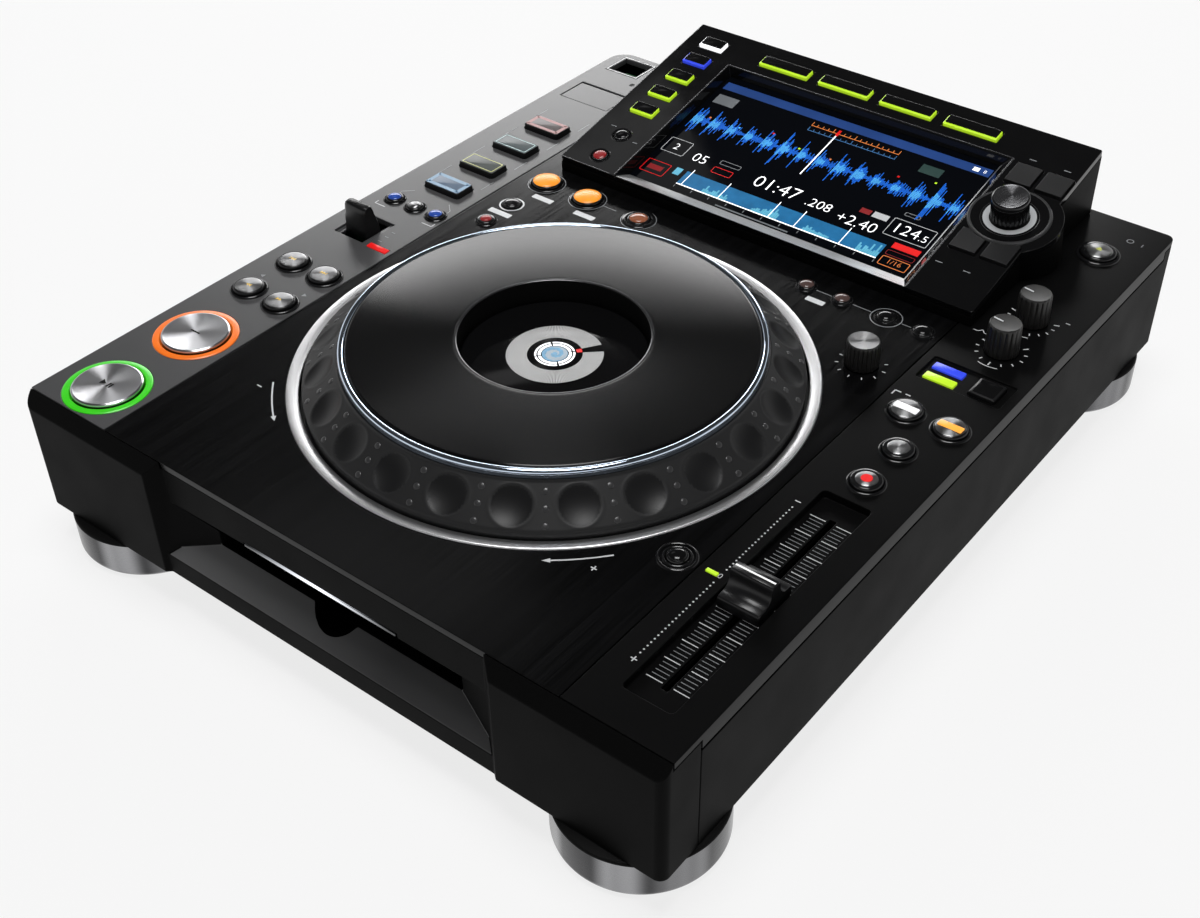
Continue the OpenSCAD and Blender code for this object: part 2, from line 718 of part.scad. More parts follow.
// The slot loading drive, with the bezel that shows in the front recess
module disc_drive() {
    color([0.05, 0.05, 0.05]) difference() {
        union() {
            block(-drive_w / 2, drive_y0, drive_z0, drive_w / 2, drive_y0 + drive_d, drive_top);
            for (sx = [-1, 1], y = [drive_y0 + 12, drive_y0 + drive_d - 12])
                translate([sx * (drive_w / 2 - 12), y, floor_z + tray_t + 0.1])
                    cylinder(h = 5, r = 4);
        }
        block(-slot_w / 2, drive_y0 - eps, slot_z - slot_h / 2, slot_w / 2,
              drive_y0 + slot_w + 10, slot_z + slot_h / 2);
        block(-drive_w / 2 + 3, drive_y0 + 6, drive_z0 + 3, drive_w / 2 - 3,
              drive_y0 + drive_d - 3, slot_z - slot_h / 2 - slot_wall);
    }
}

// A switch body on a deck board
module tact(x, y) {
    block(x - 3, y - 3, board_z + board_t - 0.1, x + 3, y + 3, board_z + board_t + 2);
}

// A potentiometer body on a deck board
module pot(x, y) {
    translate([x, y, 0])
        tube(shaft_r + shaft_fit, pot_r, board_z + board_t - 0.1, board_z + board_t + pot_h);
}

// A spacer between a deck board and its panel
module spacer(x, y) {
    translate([x, y, board_z + board_t - 0.1]) cylinder(h = under_z - 0.1 - board_z - board_t, r = 2);
}

module circuit_boards() {
    key_col = [for (y = [search_y, track_y], s = [-1, 1]) [col_x + s * search_dx, y]];
    left_x0 = xl + case_wall + 1.6;
    left_x1 = left_seam - 3;
    right_x0 = right_seam + 3;
    right_x1 = xr - case_wall - 1.6;
    low_z = floor_z + tray_t + 5.8;
    color("darkgreen") {
        // Main board on the tray's posts
        difference() {
            block(board_x0, board_y0, low_z, board_x1, board_y1, low_z + board_t);
            block(board_x0 - 1, board_y0 + 40, low_z - 1, board_x0 + 14, board_y0 + 60, low_z + 3);
        }
        for (p = [[20, 20, 24, 24, 3], [70, 30, 16, 16, 2], [70, 70, 20, 12, 3], [30, 66, 14, 22, 2],
                  [110, 24, 12, 40, 8]])
            block(board_x0 + p[0], board_y0 + p[1], low_z + board_t - 0.1, board_x0 + p[0] + p[2],
                  board_y0 + p[1] + p[3], low_z + board_t + p[4]);
        // Left deck board
        difference() {
            block(left_x0, play_y - 18, board_z, left_x1, pad_y[3] + 10, board_z + board_t);
            block(lever_x - lever_w / 2 - 4.5, lever_y - 8, board_z - 1,
                  lever_x + lever_w / 2 + 4.5, lever_y + 8, board_z + board_t + 1);
        }
        for (y = [play_y, cue_y]) tact(play_x, y);
        for (y = pad_y) tact(col_x, y);
        for (p = key_col) tact(p[0], p[1]);
        for (i = [-1:1]) tact(col_x + i * bank_dx, bank_y);
        for (y = [cue_y - 24, track_y + 12, pad_y[0] - 12, pad_y[3] + 8])
            spacer(left_x1 - 2.5, y);
        // Right deck board
        block(right_x0, master_tempo_y - 9, board_z, right_x1, eject_y + 12, board_z + board_t);
        for (x = sync_x) tact(x, sync_y);
        for (y = [range_y, master_tempo_y]) tact(range_x, y);
        tact(mode_key_x, mode_key_y);
        tact(eject_x, eject_y);
        for (y = knob_y) pot(knob_x, y);
        for (y = [master_tempo_y - 6, knob_y[1] - 13.5, knob_y[0] + 14]) spacer(right_x0 + 2.5, y);
        // Centre board behind the jog wheel, with its two tabs
        difference() {
            union() {
                block(loop_x[0] - 10, row_y - 3.6, board_z, memory_x + 5, row_y + 7,
                      board_z + board_t);
                block(slice_x - 4, slice_y[1] - 4, board_z, slice_x + 5, row_y, board_z + board_t);
                block(jog_adjust_x - 7, jog_adjust_y - 7, board_z, jog_adjust_x + 7, row_y,
                      board_z + board_t);
            }
            translate([0, jog_y, board_z - 1]) cylinder(h = 4, r = well_r + 1);
        }
        for (x = concat(loop_x, [reloop_x], call_x, [delete_x, memory_x])) tact(x, row_y);
        for (y = slice_y) tact(slice_x, y);
        pot(jog_adjust_x, jog_adjust_y);
        for (x = [(loop_x[0] + loop_x[1]) / 2, reloop_x + 14, call_x[0] - 14, (call_x[1] + delete_x) / 2])
            spacer(x, row_y + 4);
        // Tempo reset board
        block(reset_x - 6, reset_y - 10, board_z, reset_x + 5.6, reset_y + 10, board_z + board_t);
        tact(reset_x, reset_y);
        for (s = [-1, 1]) spacer(reset_x + 1.5, reset_y + s * 7.8);
        // Fader body on the fader recess's underside, with the rails that guide its carriage
        fader_body();
        // Card socket and upright host socket behind the left panel's two bays
        card_socket();
        // Display board, an L round the screen, in the tilted frame
        on_display() display_board();
    }
}

// The slide potentiometer under the tempo fader
module fader_body() {
    z1 = deck_z - fader_depth - fader_floor_t - 0.1;
    z0 = z1 - 9;
    l = fader_travel / 2 + 9;
    difference() {
        block(fader_x - 6, fader_y - l, z0, fader_x + 6, fader_y + l, z1);
        block(fader_x - 4.5, fader_y - fader_travel / 2 - 4.5, z0 + 1.5, fader_x + 4.5,
              fader_y + fader_travel / 2 + 4.5, z1 - 1.2);
        block(fader_x - fader_slot_w / 2, fader_y - fader_travel / 2 - 2, z0 + 2,
              fader_x + fader_slot_w / 2, fader_y + fader_travel / 2 + 2, z1 + 1);
    }
}

module card_socket() {
    z0 = deck_z - 24;
    z1 = z0 - 0.1;
    difference() {
        block(card_x + 1, card_y + 1, z0, card_x + card_w - 1, card_y + card_d - 4, under_z - 6);
        block(card_x + 3, card_y + 5, z0 + 3, card_x + card_w - 3, card_y + 10, under_z);
    }
    difference() {
        block(usb_x - 1, usb_y - 1, z0, usb_x + usb_w + 1, usb_y + usb_d + 1, under_z - 6);
        block(usb_x + 2, usb_y + 4.6, z0 + 2, usb_x + usb_w - 2, usb_y + 10, under_z);
    }
    // Board under both sockets
    block(card_x + 4, card_y + 1, z1 - board_t, usb_x + usb_w - 2, usb_y + 4, z1);
    // Posts up to the deck panel
    for (y = [card_y - 3, usb_y - 5]) translate([usb_x + usb_w + 2.5, y, z1 - 0.2])
        cylinder(h = under_z - z1, r = 2);
    block(usb_x + usb_w - 3, card_y - 5, z1 - board_t, usb_x + usb_w + 4, usb_y + 2, z1);
}

// Board under the display's keys, with its switches and the selector's encoder
module display_board() {
    w0 = -13.6;
    x_right = disp_xr - house_wall - 1;
    difference() {
        union() {
            translate([disp_xl + house_wall + 1, 3, w0]) cube([24.5, disp_len - 9, board_t]);
            translate([disp_xl + house_wall + 1, screen_len + 3.5, w0])
                cube([x_right - disp_xl - house_wall - 1, 11, board_t]);
            translate([screen_x1 + 1.5, 30, w0]) cube([x_right - screen_x1 - 1.5, 80, board_t]);
        }
        translate([disp_xl, disp_len - 10, w0 - 1]) cube([300, 20, 5]);
    }
    for (v = source_v) panel_tact(source_x, v);
    for (v = side_v) panel_tact(side_x, v);
    for (x = menu_x) panel_tact(x, menu_v);
    for (s = [-1, 1], v = browse_v) panel_tact(selector_x + s * browse_dx, v);
    translate([selector_x, selector_v, 0]) tube(shaft_r + shaft_fit, 6, w0 + board_t - 0.1, -4.2);
    for (p = [[disp_xl + 6, 68], [menu_x[0] + 17.3, menu_v - 4.2], [menu_x[2] + 17.3, menu_v - 4.2],
              [disp_xr - 7, 102]])
        translate([p[0], p[1], w0 + board_t - 0.1]) cylinder(h = -panel_t - 0.1 - w0 - board_t, r = 1.5);
}

module panel_tact(x, v) {
    translate([x - 2.5, v - 2.5, -12.1]) cube([5, 5, 2.1]);
}

module power_supply() {
    z0 = floor_z + tray_t + 0.2;
    x0 = xl + 18;
    y0 = yr - 156;
    color("darkkhaki") {
        difference() {
            block(x0, y0, z0, x0 + 62, y0 + 90, z0 + 32);
            block(x0 + 2, y0 + 2, z0 + 2, x0 + 60, y0 + 88, z0 + 33);
        }
        for (y = [y0 + 8, y0 + 48]) block(x0 + 8, y, z0 + 1.9, x0 + 36, y + 30, z0 + 27);
        for (x = [x0 + 42, x0 + 50]) block(x, y0 + 8, z0 + 1.9, x + 3, y0 + 80, z0 + 29);
    }
}

// ---------------------------------------------------------------- jog wheel

// The fixed pan under the wheel, hung from the centre plate by its flange
module jog_well() {
    color([0.08, 0.08, 0.08]) translate([0, jog_y, 0]) {
        tube(well_r - well_wall, well_r, well_floor_z, under_z - 0.2);
        tube(column_r - 8, well_r, well_floor_z, well_floor_z + well_floor_t);
        tube(well_r - 0.5, well_r + 4, under_z - 2.2, under_z - 0.2);
    }
}

module jog_well_ring() {
    r0 = jog_r - jog_ring_w;
    color("silver") translate([0, jog_y, 0]) rotate_extrude($fn = 128)
        polygon([[r0, under_z - 0.1], [jog_r, under_z - 0.1], [jog_r, deck_z + 0.4],
                 [jog_r - 0.5, deck_z + 0.8], [jog_r - 1.3, deck_z + 0.8],
                 [r0, deck_z - 0.9]]);
}

module jog_bearing() {
    color("gainsboro") translate([0, jog_y, 0]) {
        tube(column_r + 0.02, column_r + 1.6, bearing_z, bearing_z + bearing_h);
        tube(bearing_r - 1.6, bearing_r, bearing_z, bearing_z + bearing_h);
        tube(column_r + 1.2, bearing_r - 1.2, bearing_z + 1, bearing_z + bearing_h - 1);
    }
}

// The fixed column with the round display on top
module jog_display() {
    z0 = well_floor_z + well_floor_t;
    color([0.03, 0.03, 0.04]) translate([0, jog_y, 0]) {
        tube(column_r - 4, column_r, z0, jog_screen_z - 1.4);
        tube(column_r - 4, column_r + 3, z0, z0 + 1.4);
        translate([0, 0, jog_screen_z - 1.5]) cylinder(h = 1.5, r = jog_screen_r, $fn = 96);
    }
}

// The turning wheel: hub on the bearing, web, rim and the sloped grip ring with its dimples
module jog_wheel() {
    hub_r = bearing_r + bearing_fit;
    hub_z = well_floor_z + well_floor_t + 1.5;
    rim_z = well_floor_z + well_floor_t + 2;
    slope = atan((grip_top_z - grip_edge_z) / grip_w);
    mid_r = wheel_r - grip_w * 0.53;
    mid_z = grip_edge_z + (wheel_r - mid_r) * tan(slope);
    ball_r = (dimple_r * dimple_r + dimple_d * dimple_d) / (2 * dimple_d);
    color([0.22, 0.22, 0.22]) translate([0, jog_y, 0]) difference() {
        rotate_extrude($fn = 128)
            polygon([[hub_r, hub_z], [hub_r + hub_t, hub_z], [hub_r + hub_t, web_top_z - web_t],
                     [wheel_r - 3, web_top_z - web_t], [wheel_r - 3, rim_z], [wheel_r, rim_z],
                     [wheel_r, grip_edge_z], [grip_r, grip_top_z], [grip_r - 7, grip_top_z],
                     [grip_r - 7, grip_top_z - 2.4], [grip_r - 1.6, grip_top_z - 2.4],
                     [wheel_r - 4, web_top_z], [hub_r, web_top_z]]);
        for (i = [0:dimples - 1]) rotate(i * 360 / dimples)
            translate([mid_r + sin(slope) * (ball_r - dimple_d), 0,
                       mid_z + cos(slope) * (ball_r - dimple_d)]) sphere(ball_r);
    }
}

// The platter on the wheel, with its bright edge and the wall round the window
module jog_platter() {
    color([0.12, 0.12, 0.12]) translate([0, jog_y, 0]) rotate_extrude($fn = 128)
        polygon([[window_r, web_top_z], [window_r + 2, web_top_z], [window_r + 2, platter_z - 2.8],
                 [chrome_r, platter_z - 2.8], [chrome_r, grip_top_z], [grip_r, grip_top_z],
                 [grip_r, grip_top_z + 0.8], [grip_r - 0.8, platter_z - 0.6],
                 [grip_r - 1.6, platter_z], [window_r, platter_z]]);
}

// ---------------------------------------------------------------- display

// Height of the housing's upper edge at a given y
function house_top(y) = disp_z0 + (y - disp_y0) * tan(disp_tilt) - (panel_t + 0.1) / cos(disp_tilt);

module display_housing() {
    y0 = disp_y0 + 0.3;
    y1 = disp_y1 + 0.6;
    z0 = deck_z + 0.1;
    color([0.13, 0.13, 0.13]) difference() {
        union() {
            along_x(disp_xl, disp_xr)
                polygon([[y0, z0], [y1, z0], [y1, house_top(y1)], [y0, house_top(y0)]]);
            intersection() {
                on_display() translate([selector_x, selector_v, -60])
                    cylinder(h = 60 - panel_t - 0.1, r = bulge_r, $fn = 72);
                block(disp_xl, y0, z0, disp_xr + 40, y1, deck_z + 80);
            }
        }
        block(disp_xl + house_wall, y0 + house_wall, z0 - 1, disp_xr - house_wall,
              y1 - house_wall, deck_z + 80);
        on_display() translate([selector_x, selector_v, -70])
            cylinder(h = 80, r = bulge_r - house_wall, $fn = 72);
    }
}

module browse_shape(grow) {
    for (s = [-1, 1], i = [0, 1]) difference() {
        translate([selector_x + s * browse_dx - browse_w / 2 - grow,
                   browse_v[i] - browse_d / 2 - grow]) square([browse_w + 2 * grow, browse_d + 2 * grow]);
        translate([selector_x, selector_v]) circle(dish_r + 0.8 - grow, $fn = 72);
    }
}

module display_panel() {
    color([0.03, 0.03, 0.03]) on_display() {
        difference() {
            union() {
                translate([0, 0, -panel_t]) linear_extrude(panel_t) {
                    outline(disp_xl, 0, disp_xr, disp_len, [1, 1, 1, 1]);
                    translate([selector_x, selector_v]) circle(bulge_r, $fn = 72);
                }
                translate([screen_x0 - 2.5, 2.6, -screen_depth])
                    cube([screen_w + 3.3, screen_len - 0.2, screen_depth - 1]);
            }
            // The screen's recess, sloped in front and on the right
            intersection() {
                translate([0, disp_len + 1, 0]) rotate([90, 0, 0]) linear_extrude(disp_len + 4)
                    polygon([[screen_x0, 1], [screen_x0, 0], [screen_x0 + 1, -screen_depth - 0.01],
                             [screen_x1 - screen_slope_w, -screen_depth - 0.01],
                             [screen_x1, 0], [screen_x1, 1]]);
                along_x(screen_x0 - 1, screen_x1 + 1)
                    polygon([[-2, 1], [-2, 0.75], [screen_slope_v, -screen_depth - 0.01],
                             [screen_len - 0.8, -screen_depth - 0.01], [screen_len, 0],
                             [screen_len, 1]]);
            }
            for (v = source_v) panel_key_hole(source_x, v, source_w, source_d);
            for (x = menu_x) panel_key_hole(x, menu_v, menu_w, menu_d);
            for (v = side_v) translate([side_x, v, -panel_t - 1])
                cylinder(h = panel_t + 2, r = side_key_r + key_gap);
            translate([0, 0, -panel_t - 1]) linear_extrude(panel_t + 2) browse_shape(key_gap);
            translate([selector_x, selector_v, -panel_t - 1])
                cylinder(h = panel_t + 2, r = glow_r + 0.15, $fn = 72);
        }
        // The dished collar round the selector
        translate([selector_x, selector_v, 0]) rotate_extrude($fn = 72)
            polygon([[glow_r + 0.15, -0.5], [dish_r, -0.5], [dish_r, 0.3], [dish_r - 0.8, 0.8],
                     [dish_r - 1.8, 0.8], [glow_r + 0.15, 0.2]]);
    }
}

module panel_key_hole(x, v, w, d) {
    translate([x - w / 2 - key_gap, v - d / 2 - key_gap, -panel_t - 1])
        cube([w + 2 * key_gap, d + 2 * key_gap, panel_t + 2]);
}

module display_screen() {
    color([0.05, 0.07, 0.12]) on_display() {
        translate([screen_x0 - 1.8, 7.4, -screen_depth - 2.1])
            cube([screen_w - 2, screen_len - 6.6, 2]);
        translate([screen_x0 + 3, 14, -screen_depth - 5]) cube([screen_w - 12, screen_len - 20, 3]);
    }
}

// ---------------------------------------------------------------- lights

// Clear rings and lenses that carry light to the deck's surface
module light_guides() {
    ring_r0 = play_r + 0.7;
    ring_r1 = ring_r0 + play_ring_w;
    color("palegreen") translate([play_x, play_y, 0]) light_ring(ring_r0, ring_r1);
    color("orange") translate([play_x, cue_y, 0]) light_ring(ring_r0, ring_r1);
    color("red") lamp(lever_lamp[0], lever_lamp[1], 11.5, 3.4, 0.2);
    color("blue") lamp(mode_lamp_x, mode_lamp_y[0], mode_lamp[0], mode_lamp[1], -0.5);
    color("yellowgreen") lamp(mode_lamp_x, mode_lamp_y[1], mode_lamp[0], mode_lamp[1], -0.5);
    color("yellowgreen") lamp(tempo_lamp_x, fader_y, tempo_lamp[0], tempo_lamp[1], 0.2);
    color("white") {
        block(-39, lip_y - 0.3, lip_bottom + 0.55, 39, lip_y + 1.5, lip_bottom + 1.75);
        difference() {
            block(usb_x - usb_frame, usb_y - usb_frame, under_z + 0.1, usb_x + usb_w + usb_frame,
                  usb_y + usb_d + usb_frame, deck_z + 0.2);
            block(usb_x, usb_y, under_z - 1, usb_x + usb_w, usb_y + usb_d, deck_z + 1);
        }
        on_display() translate([selector_x, selector_v, 0])
            tube(shaft_r + 0.5, glow_r, -panel_t + 0.2, 0.5);
    }
}

module light_ring(r0, r1) {
    tube(r0, r1, under_z - 2.3, deck_z + 0.4);
    tube(r1 - 0.2, r1 + 0.8, under_z - 2.3, under_z - 0.2);
}

// A lens with a shoulder under the deck; rise is how far it stands off the deck
module lamp(x, y, w, d, rise) {
    block(x - w / 2, y - d / 2, under_z - 1, x + w / 2, y + d / 2, deck_z + rise);
    block(x - w / 2 - 0.8, y - d / 2 - 0.8, under_z - 1.2, x + w / 2 + 0.8, y + d / 2 + 0.8,
          under_z - 0.2);
}

// ---------------------------------------------------------------- fader, lever, knobs

module tempo_fader() {
    z = deck_z - fader_depth + 0.4;
    h = fader_cap_h;
    half = fader_cap_d / 2;
    rail_z = deck_z - fader_depth - fader_floor_t - 0.1;
    color([0.1, 0.1, 0.1]) translate([fader_x, fader_y, 0]) {
        along_x(-fader_cap_w / 2, fader_cap_w / 2) translate([0, deck_z])
            polygon([[-half, z - deck_z], [-half, 0.8], [-half + 0.8, 1.8], [-half + 3.6, 1.9],
                     [-4.6, 3.2], [-3.3, 5.4], [-2.6, h - 0.8], [-2, h], [2, h], [2.6, h - 0.8],
                     [3.3, 5.4], [4.6, 3.2], [half - 3.6, 1.9], [half - 0.8, 1.8], [half, 0.8],
                     [half, z - deck_z]]);
        block(-0.9, -1.7, rail_z - 3, 0.9, 1.7, z + 0.5);
        block(-4.2, -4, rail_z - 7.2, 4.2, 4, rail_z - 1.6);
    }
}

module direction_lever() {
    color([0.1, 0.1, 0.1]) translate([lever_x, lever_y, 0]) {
        translate([0, 0, lever_pivot_z]) rotate([lever_tilt, 0, 0])
            along_x(-lever_w / 2, lever_w / 2) translate([0, deck_z - lever_pivot_z])
                polygon([[-3.3, -9], [-5.4, 0], [-2.6, lever_h - 1], [-1.8, lever_h],
                         [1.8, lever_h], [2.6, lever_h - 1], [5.4, 0], [3.3, -9]]);
        translate([-lever_w / 2, 0, lever_pivot_z]) rotate([0, 90, 0])
            cylinder(h = lever_w, r = 3.4);
        translate([-lever_w / 2 - 3.1, 0, lever_pivot_z]) rotate([0, 90, 0])
            cylinder(h = lever_w + 6.2, r = lever_pin_r);
    }
}

module selector_shaft() {
    color("gray") on_display() translate([selector_x, selector_v, -10.6])
        cylinder(h = 19.2, r = shaft_r);
}

module selector_knob() {
    cap_z = selector_h - 3.6;
    color("gainsboro") on_display() translate([selector_x, selector_v, selector_gap]) difference() {
        union() {
            cylinder(h = cap_z + 0.5, r = selector_r - 0.4, $fn = 64);
            translate([0, 0, cap_z]) cylinder(h = 2.6, r = selector_r, $fn = 64);
            translate([0, 0, selector_h - 1])
                cylinder(h = 1, r1 = selector_r, r2 = selector_r - 0.8, $fn = 64);
        }
        translate([0, 0, -1]) cylinder(h = selector_h - 1.8, r = shaft_r + shaft_fit);
        for (i = [0:23]) rotate(i * 15) translate([selector_r, 0, -1])
            cylinder(h = cap_z + 0.6, r = 0.8, $fn = 16);
    }
}

module jog_adjust_knob() {
    color("gray") ribbed_knob(jog_adjust_x, jog_adjust_y, jog_adjust_r, jog_adjust_h, 24);
}

module rear_adjust_knob() {
    color([0.2, 0.2, 0.2]) ribbed_knob(knob_x, knob_y[0], knob_r, knob_h, 18);
}

module front_adjust_knob() {
    color([0.2, 0.2, 0.2]) ribbed_knob(knob_x, knob_y[1], knob_r, knob_h, 18);
}

// ---------------------------------------------------------------- keys

// A large round button inside a light ring
module big_key(x, y) {
    z = under_z - 2.6;
    translate([x, y, 0]) {
        translate([0, 0, z - 0.1]) cylinder(h = deck_z + 1.1 - z, r = play_r, $fn = 72);
        translate([0, 0, deck_z + 0.9]) cylinder(h = 0.7, r1 = play_r, r2 = play_r - 0.6, $fn = 72);
        tube(play_r - 3.2, play_r + 2, z - 1.2, z);
        key_stem();
    }
}

module play_button() {
    color("silver") big_key(play_x, play_y);
}

module cue_button() {
    color("silver") big_key(play_x, cue_y);
}

module search_button(side, y) {
    color("silver") round_key(col_x + side * search_dx, y, search_r, search_h);
}

module bank_keys() {
    color([0.1, 0.1, 0.12])
        key_row([for (i = [-1:1]) [col_x + i * bank_dx, bank_y]], bank_r, key_h);
}

// A rectangular key with rounded corners and a flange under the deck
module rect_key(x, y, w, d, h, r) {
    plate(x - w / 2, y - d / 2, x + w / 2, y + d / 2, under_z - gap - 1.2, skin + gap + 1.2 + h,
          [r, r, r, r]);
    block(x - w / 2 - 1.2, y - d / 2 + 2, under_z - gap - 1.2, x + w / 2 + 1.2, y + d / 2 - 2,
          under_z - gap);
    translate([x, y, 0]) key_stem();
}

module pad(i) {
    color([0.3, 0.32, 0.34]) rect_key(col_x, pad_y[i], pad_w, pad_d, pad_h, 1.6);
}

module loop_button(i) {
    color("orange") round_key(loop_x[i], row_y, loop_r, key_h);
}

module reloop_button() {
    color([0.1, 0.1, 0.1]) round_key(reloop_x, row_y, reloop_r, key_h);
}

module slice_keys() {
    color([0.1, 0.1, 0.1]) key_row([for (y = slice_y) [slice_x, y]], slice_r, key_h);
}

module call_keys() {
    color([0.1, 0.1, 0.1]) key_row([for (x = call_x) [x, row_y]], call_r, key_h);
}

module delete_button() {
    color([0.1, 0.1, 0.1]) round_key(delete_x, row_y, delete_r, key_h);
}

module memory_button() {
    color([0.1, 0.1, 0.1]) round_key(memory_x, row_y, memory_r, key_h);
}

module tempo_reset_button() {
    color([0.1, 0.1, 0.1]) round_key(reset_x, reset_y, reset_r, key_h);
}

module eject_button() {
    color("silver") round_key(eject_x, eject_y, eject_r, key_h + 0.4);
}

module mode_button() {
    color([0.15, 0.15, 0.15])
        rect_key(mode_key_x, mode_key_y, mode_key[0], mode_key[1], 0.6, 0.8);
}

module sync_key(i) {
    color([0.1, 0.1, 0.1]) round_key(sync_x[i], sync_y, sync_r, key_h);
}

module tempo_range_button() {
    color([0.1, 0.1, 0.1]) round_key(range_x, range_y, range_r, key_h);
}

module master_tempo_button() {
    color([0.1, 0.1, 0.1]) round_key(range_x, master_tempo_y, master_tempo_r, key_h);
}

// A key of the display: a clear lit foot with a cap on it, and its stem below
module panel_key(x, v, w, d) {
    translate([x - w / 2, v - d / 2, -panel_t - gap - 1.2])
        cube([w, d, panel_t + gap + 0.7 + panel_key_h]);
    translate([x - w / 2 + 0.6, v - d / 2 + 0.6, 0]) cube([w - 1.2, d - 1.2, panel_key_h]);
    panel_stem(x, v);
}

module panel_stem(x, v) {
    translate([x, v, -8.5]) cylinder(h = 5, r = 1.6);
}

module source_keys() {
    color("yellowgreen") on_display() {
        for (v = source_v) panel_key(source_x, v, source_w, source_d);
        translate([source_x - 4, min(source_v) - 3, -panel_t - gap - 1.2])
            cube([8, max(source_v) - min(source_v) + 6, 1.2]);
    }
}

module menu_keys() {
    color("yellowgreen") on_display() {
        for (x = menu_x) panel_key(x, menu_v, menu_w, menu_d);
        translate([min(menu_x) - 10, menu_v - 2, -panel_t - gap - 1.2])
            cube([max(menu_x) - min(menu_x) + 20, 4, 1.2]);
    }
}

module side_keys() {
    color([0.1, 0.1, 0.1]) on_display() {
        for (v = side_v) {
            translate([side_x, v, -panel_t - gap - 1.2])
                cylinder(h = panel_t + gap + 1.2 + 1.2, r = side_key_r);
            panel_stem(side_x, v);
        }
        translate([side_x - 2, min(side_v) - 3, -panel_t - gap - 1.2])
            cube([4, max(side_v) - min(side_v) + 6, 1.2]);
    }
}

// Four keys round the selector on one carrier under the panel
module browse_keys() {
    color([0.3, 0.3, 0.3]) on_display() {
        translate([0, 0, -1.7]) linear_extrude(3) browse_shape(0);
        for (s = [-1, 1], v = browse_v) {
            translate([selector_x + s * browse_dx, v, -panel_t - gap - 1]) cylinder(h = 3.4, r = 2.4);
            panel_stem(selector_x + s * browse_dx, v);
        }
        difference() {
            translate([selector_x - browse_dx - 2, browse_v[0] - 3, -panel_t - gap - 1.2])
                cube([2 * browse_dx + 4, browse_v[1] - browse_v[0] + 6, 1.2]);
            translate([selector_x, selector_v, -panel_t - 4]) cylinder(h = 8, r = 6.4);
        }
    }
}

// ---------------------------------------------------------------- door and switch

module card_door() {
    color([0.24, 0.24, 0.25]) {
        block(card_x, card_y, card_pivot_z - card_r, card_x + card_w, card_pivot_y,
              card_pivot_z + card_r);
        translate([card_x, card_pivot_y, card_pivot_z]) rotate([0, 90, 0])
            cylinder(h = card_w, r = card_r, $fn = 32);
        translate([card_x - 1.8, card_pivot_y, card_pivot_z]) rotate([0, 90, 0])
            cylinder(h = card_w + 3.6, r = card_pin_r, $fn = 24);
    }
}

module power_switch() {
    face = rear_t + 4;
    half = rocker_h / 2 - 0.75;
    color([0.08, 0.08, 0.08]) translate([rocker_x, rocker_y, rocker_z]) rotate([-rocker_tilt, 0, 0]) {
        along_x(-rocker_w / 2, rocker_w / 2)
            polygon([[face + 1.8, -half], [face + 0.2, 0], [face + 1.8, half], [-3.4, 4], [-3.4, -4]]);
        translate([-rocker_w / 2 - 3.1, 0, 0]) rotate([0, 90, 0])
            cylinder(h = rocker_w + 6.2, r = rocker_pin_r);
    }
}

// ---------------------------------------------------------------- the model

base_tray();
case_shell();
front_panel();
left_deck_panel();
centre_plate();
right_deck_panel();
jog_well();
jog_well_ring();
jog_bearing();
jog_display();
display_housing();
display_panel();
display_screen();
light_guides();
feet();
rear_panel();
disc_drive();
circuit_boards();
power_supply();
screws();
jog_wheel();
jog_platter();
tempo_fader();
direction_lever();
selector_shaft();
selector_knob();
jog_adjust_knob();
rear_adjust_knob();
front_adjust_knob();
play_button();
cue_button();
search_button(-1, search_y);  // search_back_button
search_button(1, search_y);  // search_forward_button
search_button(-1, track_y);  // track_back_button
search_button(1, track_y);  // track_forward_button
bank_keys();
pad(0);  // pad_1
pad(1);  // pad_2
pad(2);  // pad_3
pad(3);  // pad_4
loop_button(0);  // loop_in_button
loop_button(1);  // loop_out_button
reloop_button();
slice_keys();
call_keys();
delete_button();
memory_button();
tempo_reset_button();
eject_button();
mode_button();
sync_key(0);  // sync_button
sync_key(1);  // master_button
tempo_range_button();
master_tempo_button();
source_keys();
menu_keys();
browse_keys();
side_keys();
card_door();
power_switch();
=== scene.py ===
"""Looks of a tabletop disc player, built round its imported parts. Lengths below are in millimetres."""

from math import atan2, cos, hypot, pi, radians, sin

import bmesh
import bpy
from mathutils import Matrix, Vector


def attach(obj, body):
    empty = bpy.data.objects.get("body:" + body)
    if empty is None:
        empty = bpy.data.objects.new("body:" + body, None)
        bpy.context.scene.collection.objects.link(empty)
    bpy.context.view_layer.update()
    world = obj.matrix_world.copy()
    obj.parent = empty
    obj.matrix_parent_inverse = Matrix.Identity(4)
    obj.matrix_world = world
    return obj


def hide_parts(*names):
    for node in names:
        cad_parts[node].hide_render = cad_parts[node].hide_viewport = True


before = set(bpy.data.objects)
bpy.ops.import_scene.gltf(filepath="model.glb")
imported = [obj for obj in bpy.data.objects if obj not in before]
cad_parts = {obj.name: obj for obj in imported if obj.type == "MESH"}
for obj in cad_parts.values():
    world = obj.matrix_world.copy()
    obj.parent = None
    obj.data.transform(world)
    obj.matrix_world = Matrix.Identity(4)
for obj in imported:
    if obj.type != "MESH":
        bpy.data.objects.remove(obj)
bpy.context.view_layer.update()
scene = bpy.context.scene
scene.view_settings.view_transform = "Standard"

# ---- camera
# Solved from the photo, in its pixels, in radians and in metres
PHOTO_W, PHOTO_H = 1200, 918
FOCAL = 1608.4945
CENTRE_X, CENTRE_Y = 638.792, 458.8135
YAW, PITCH, ROLL = 0.6495928, 0.6866283, 0.0005829
EYE = (0.347008, -0.455180, 0.461885)

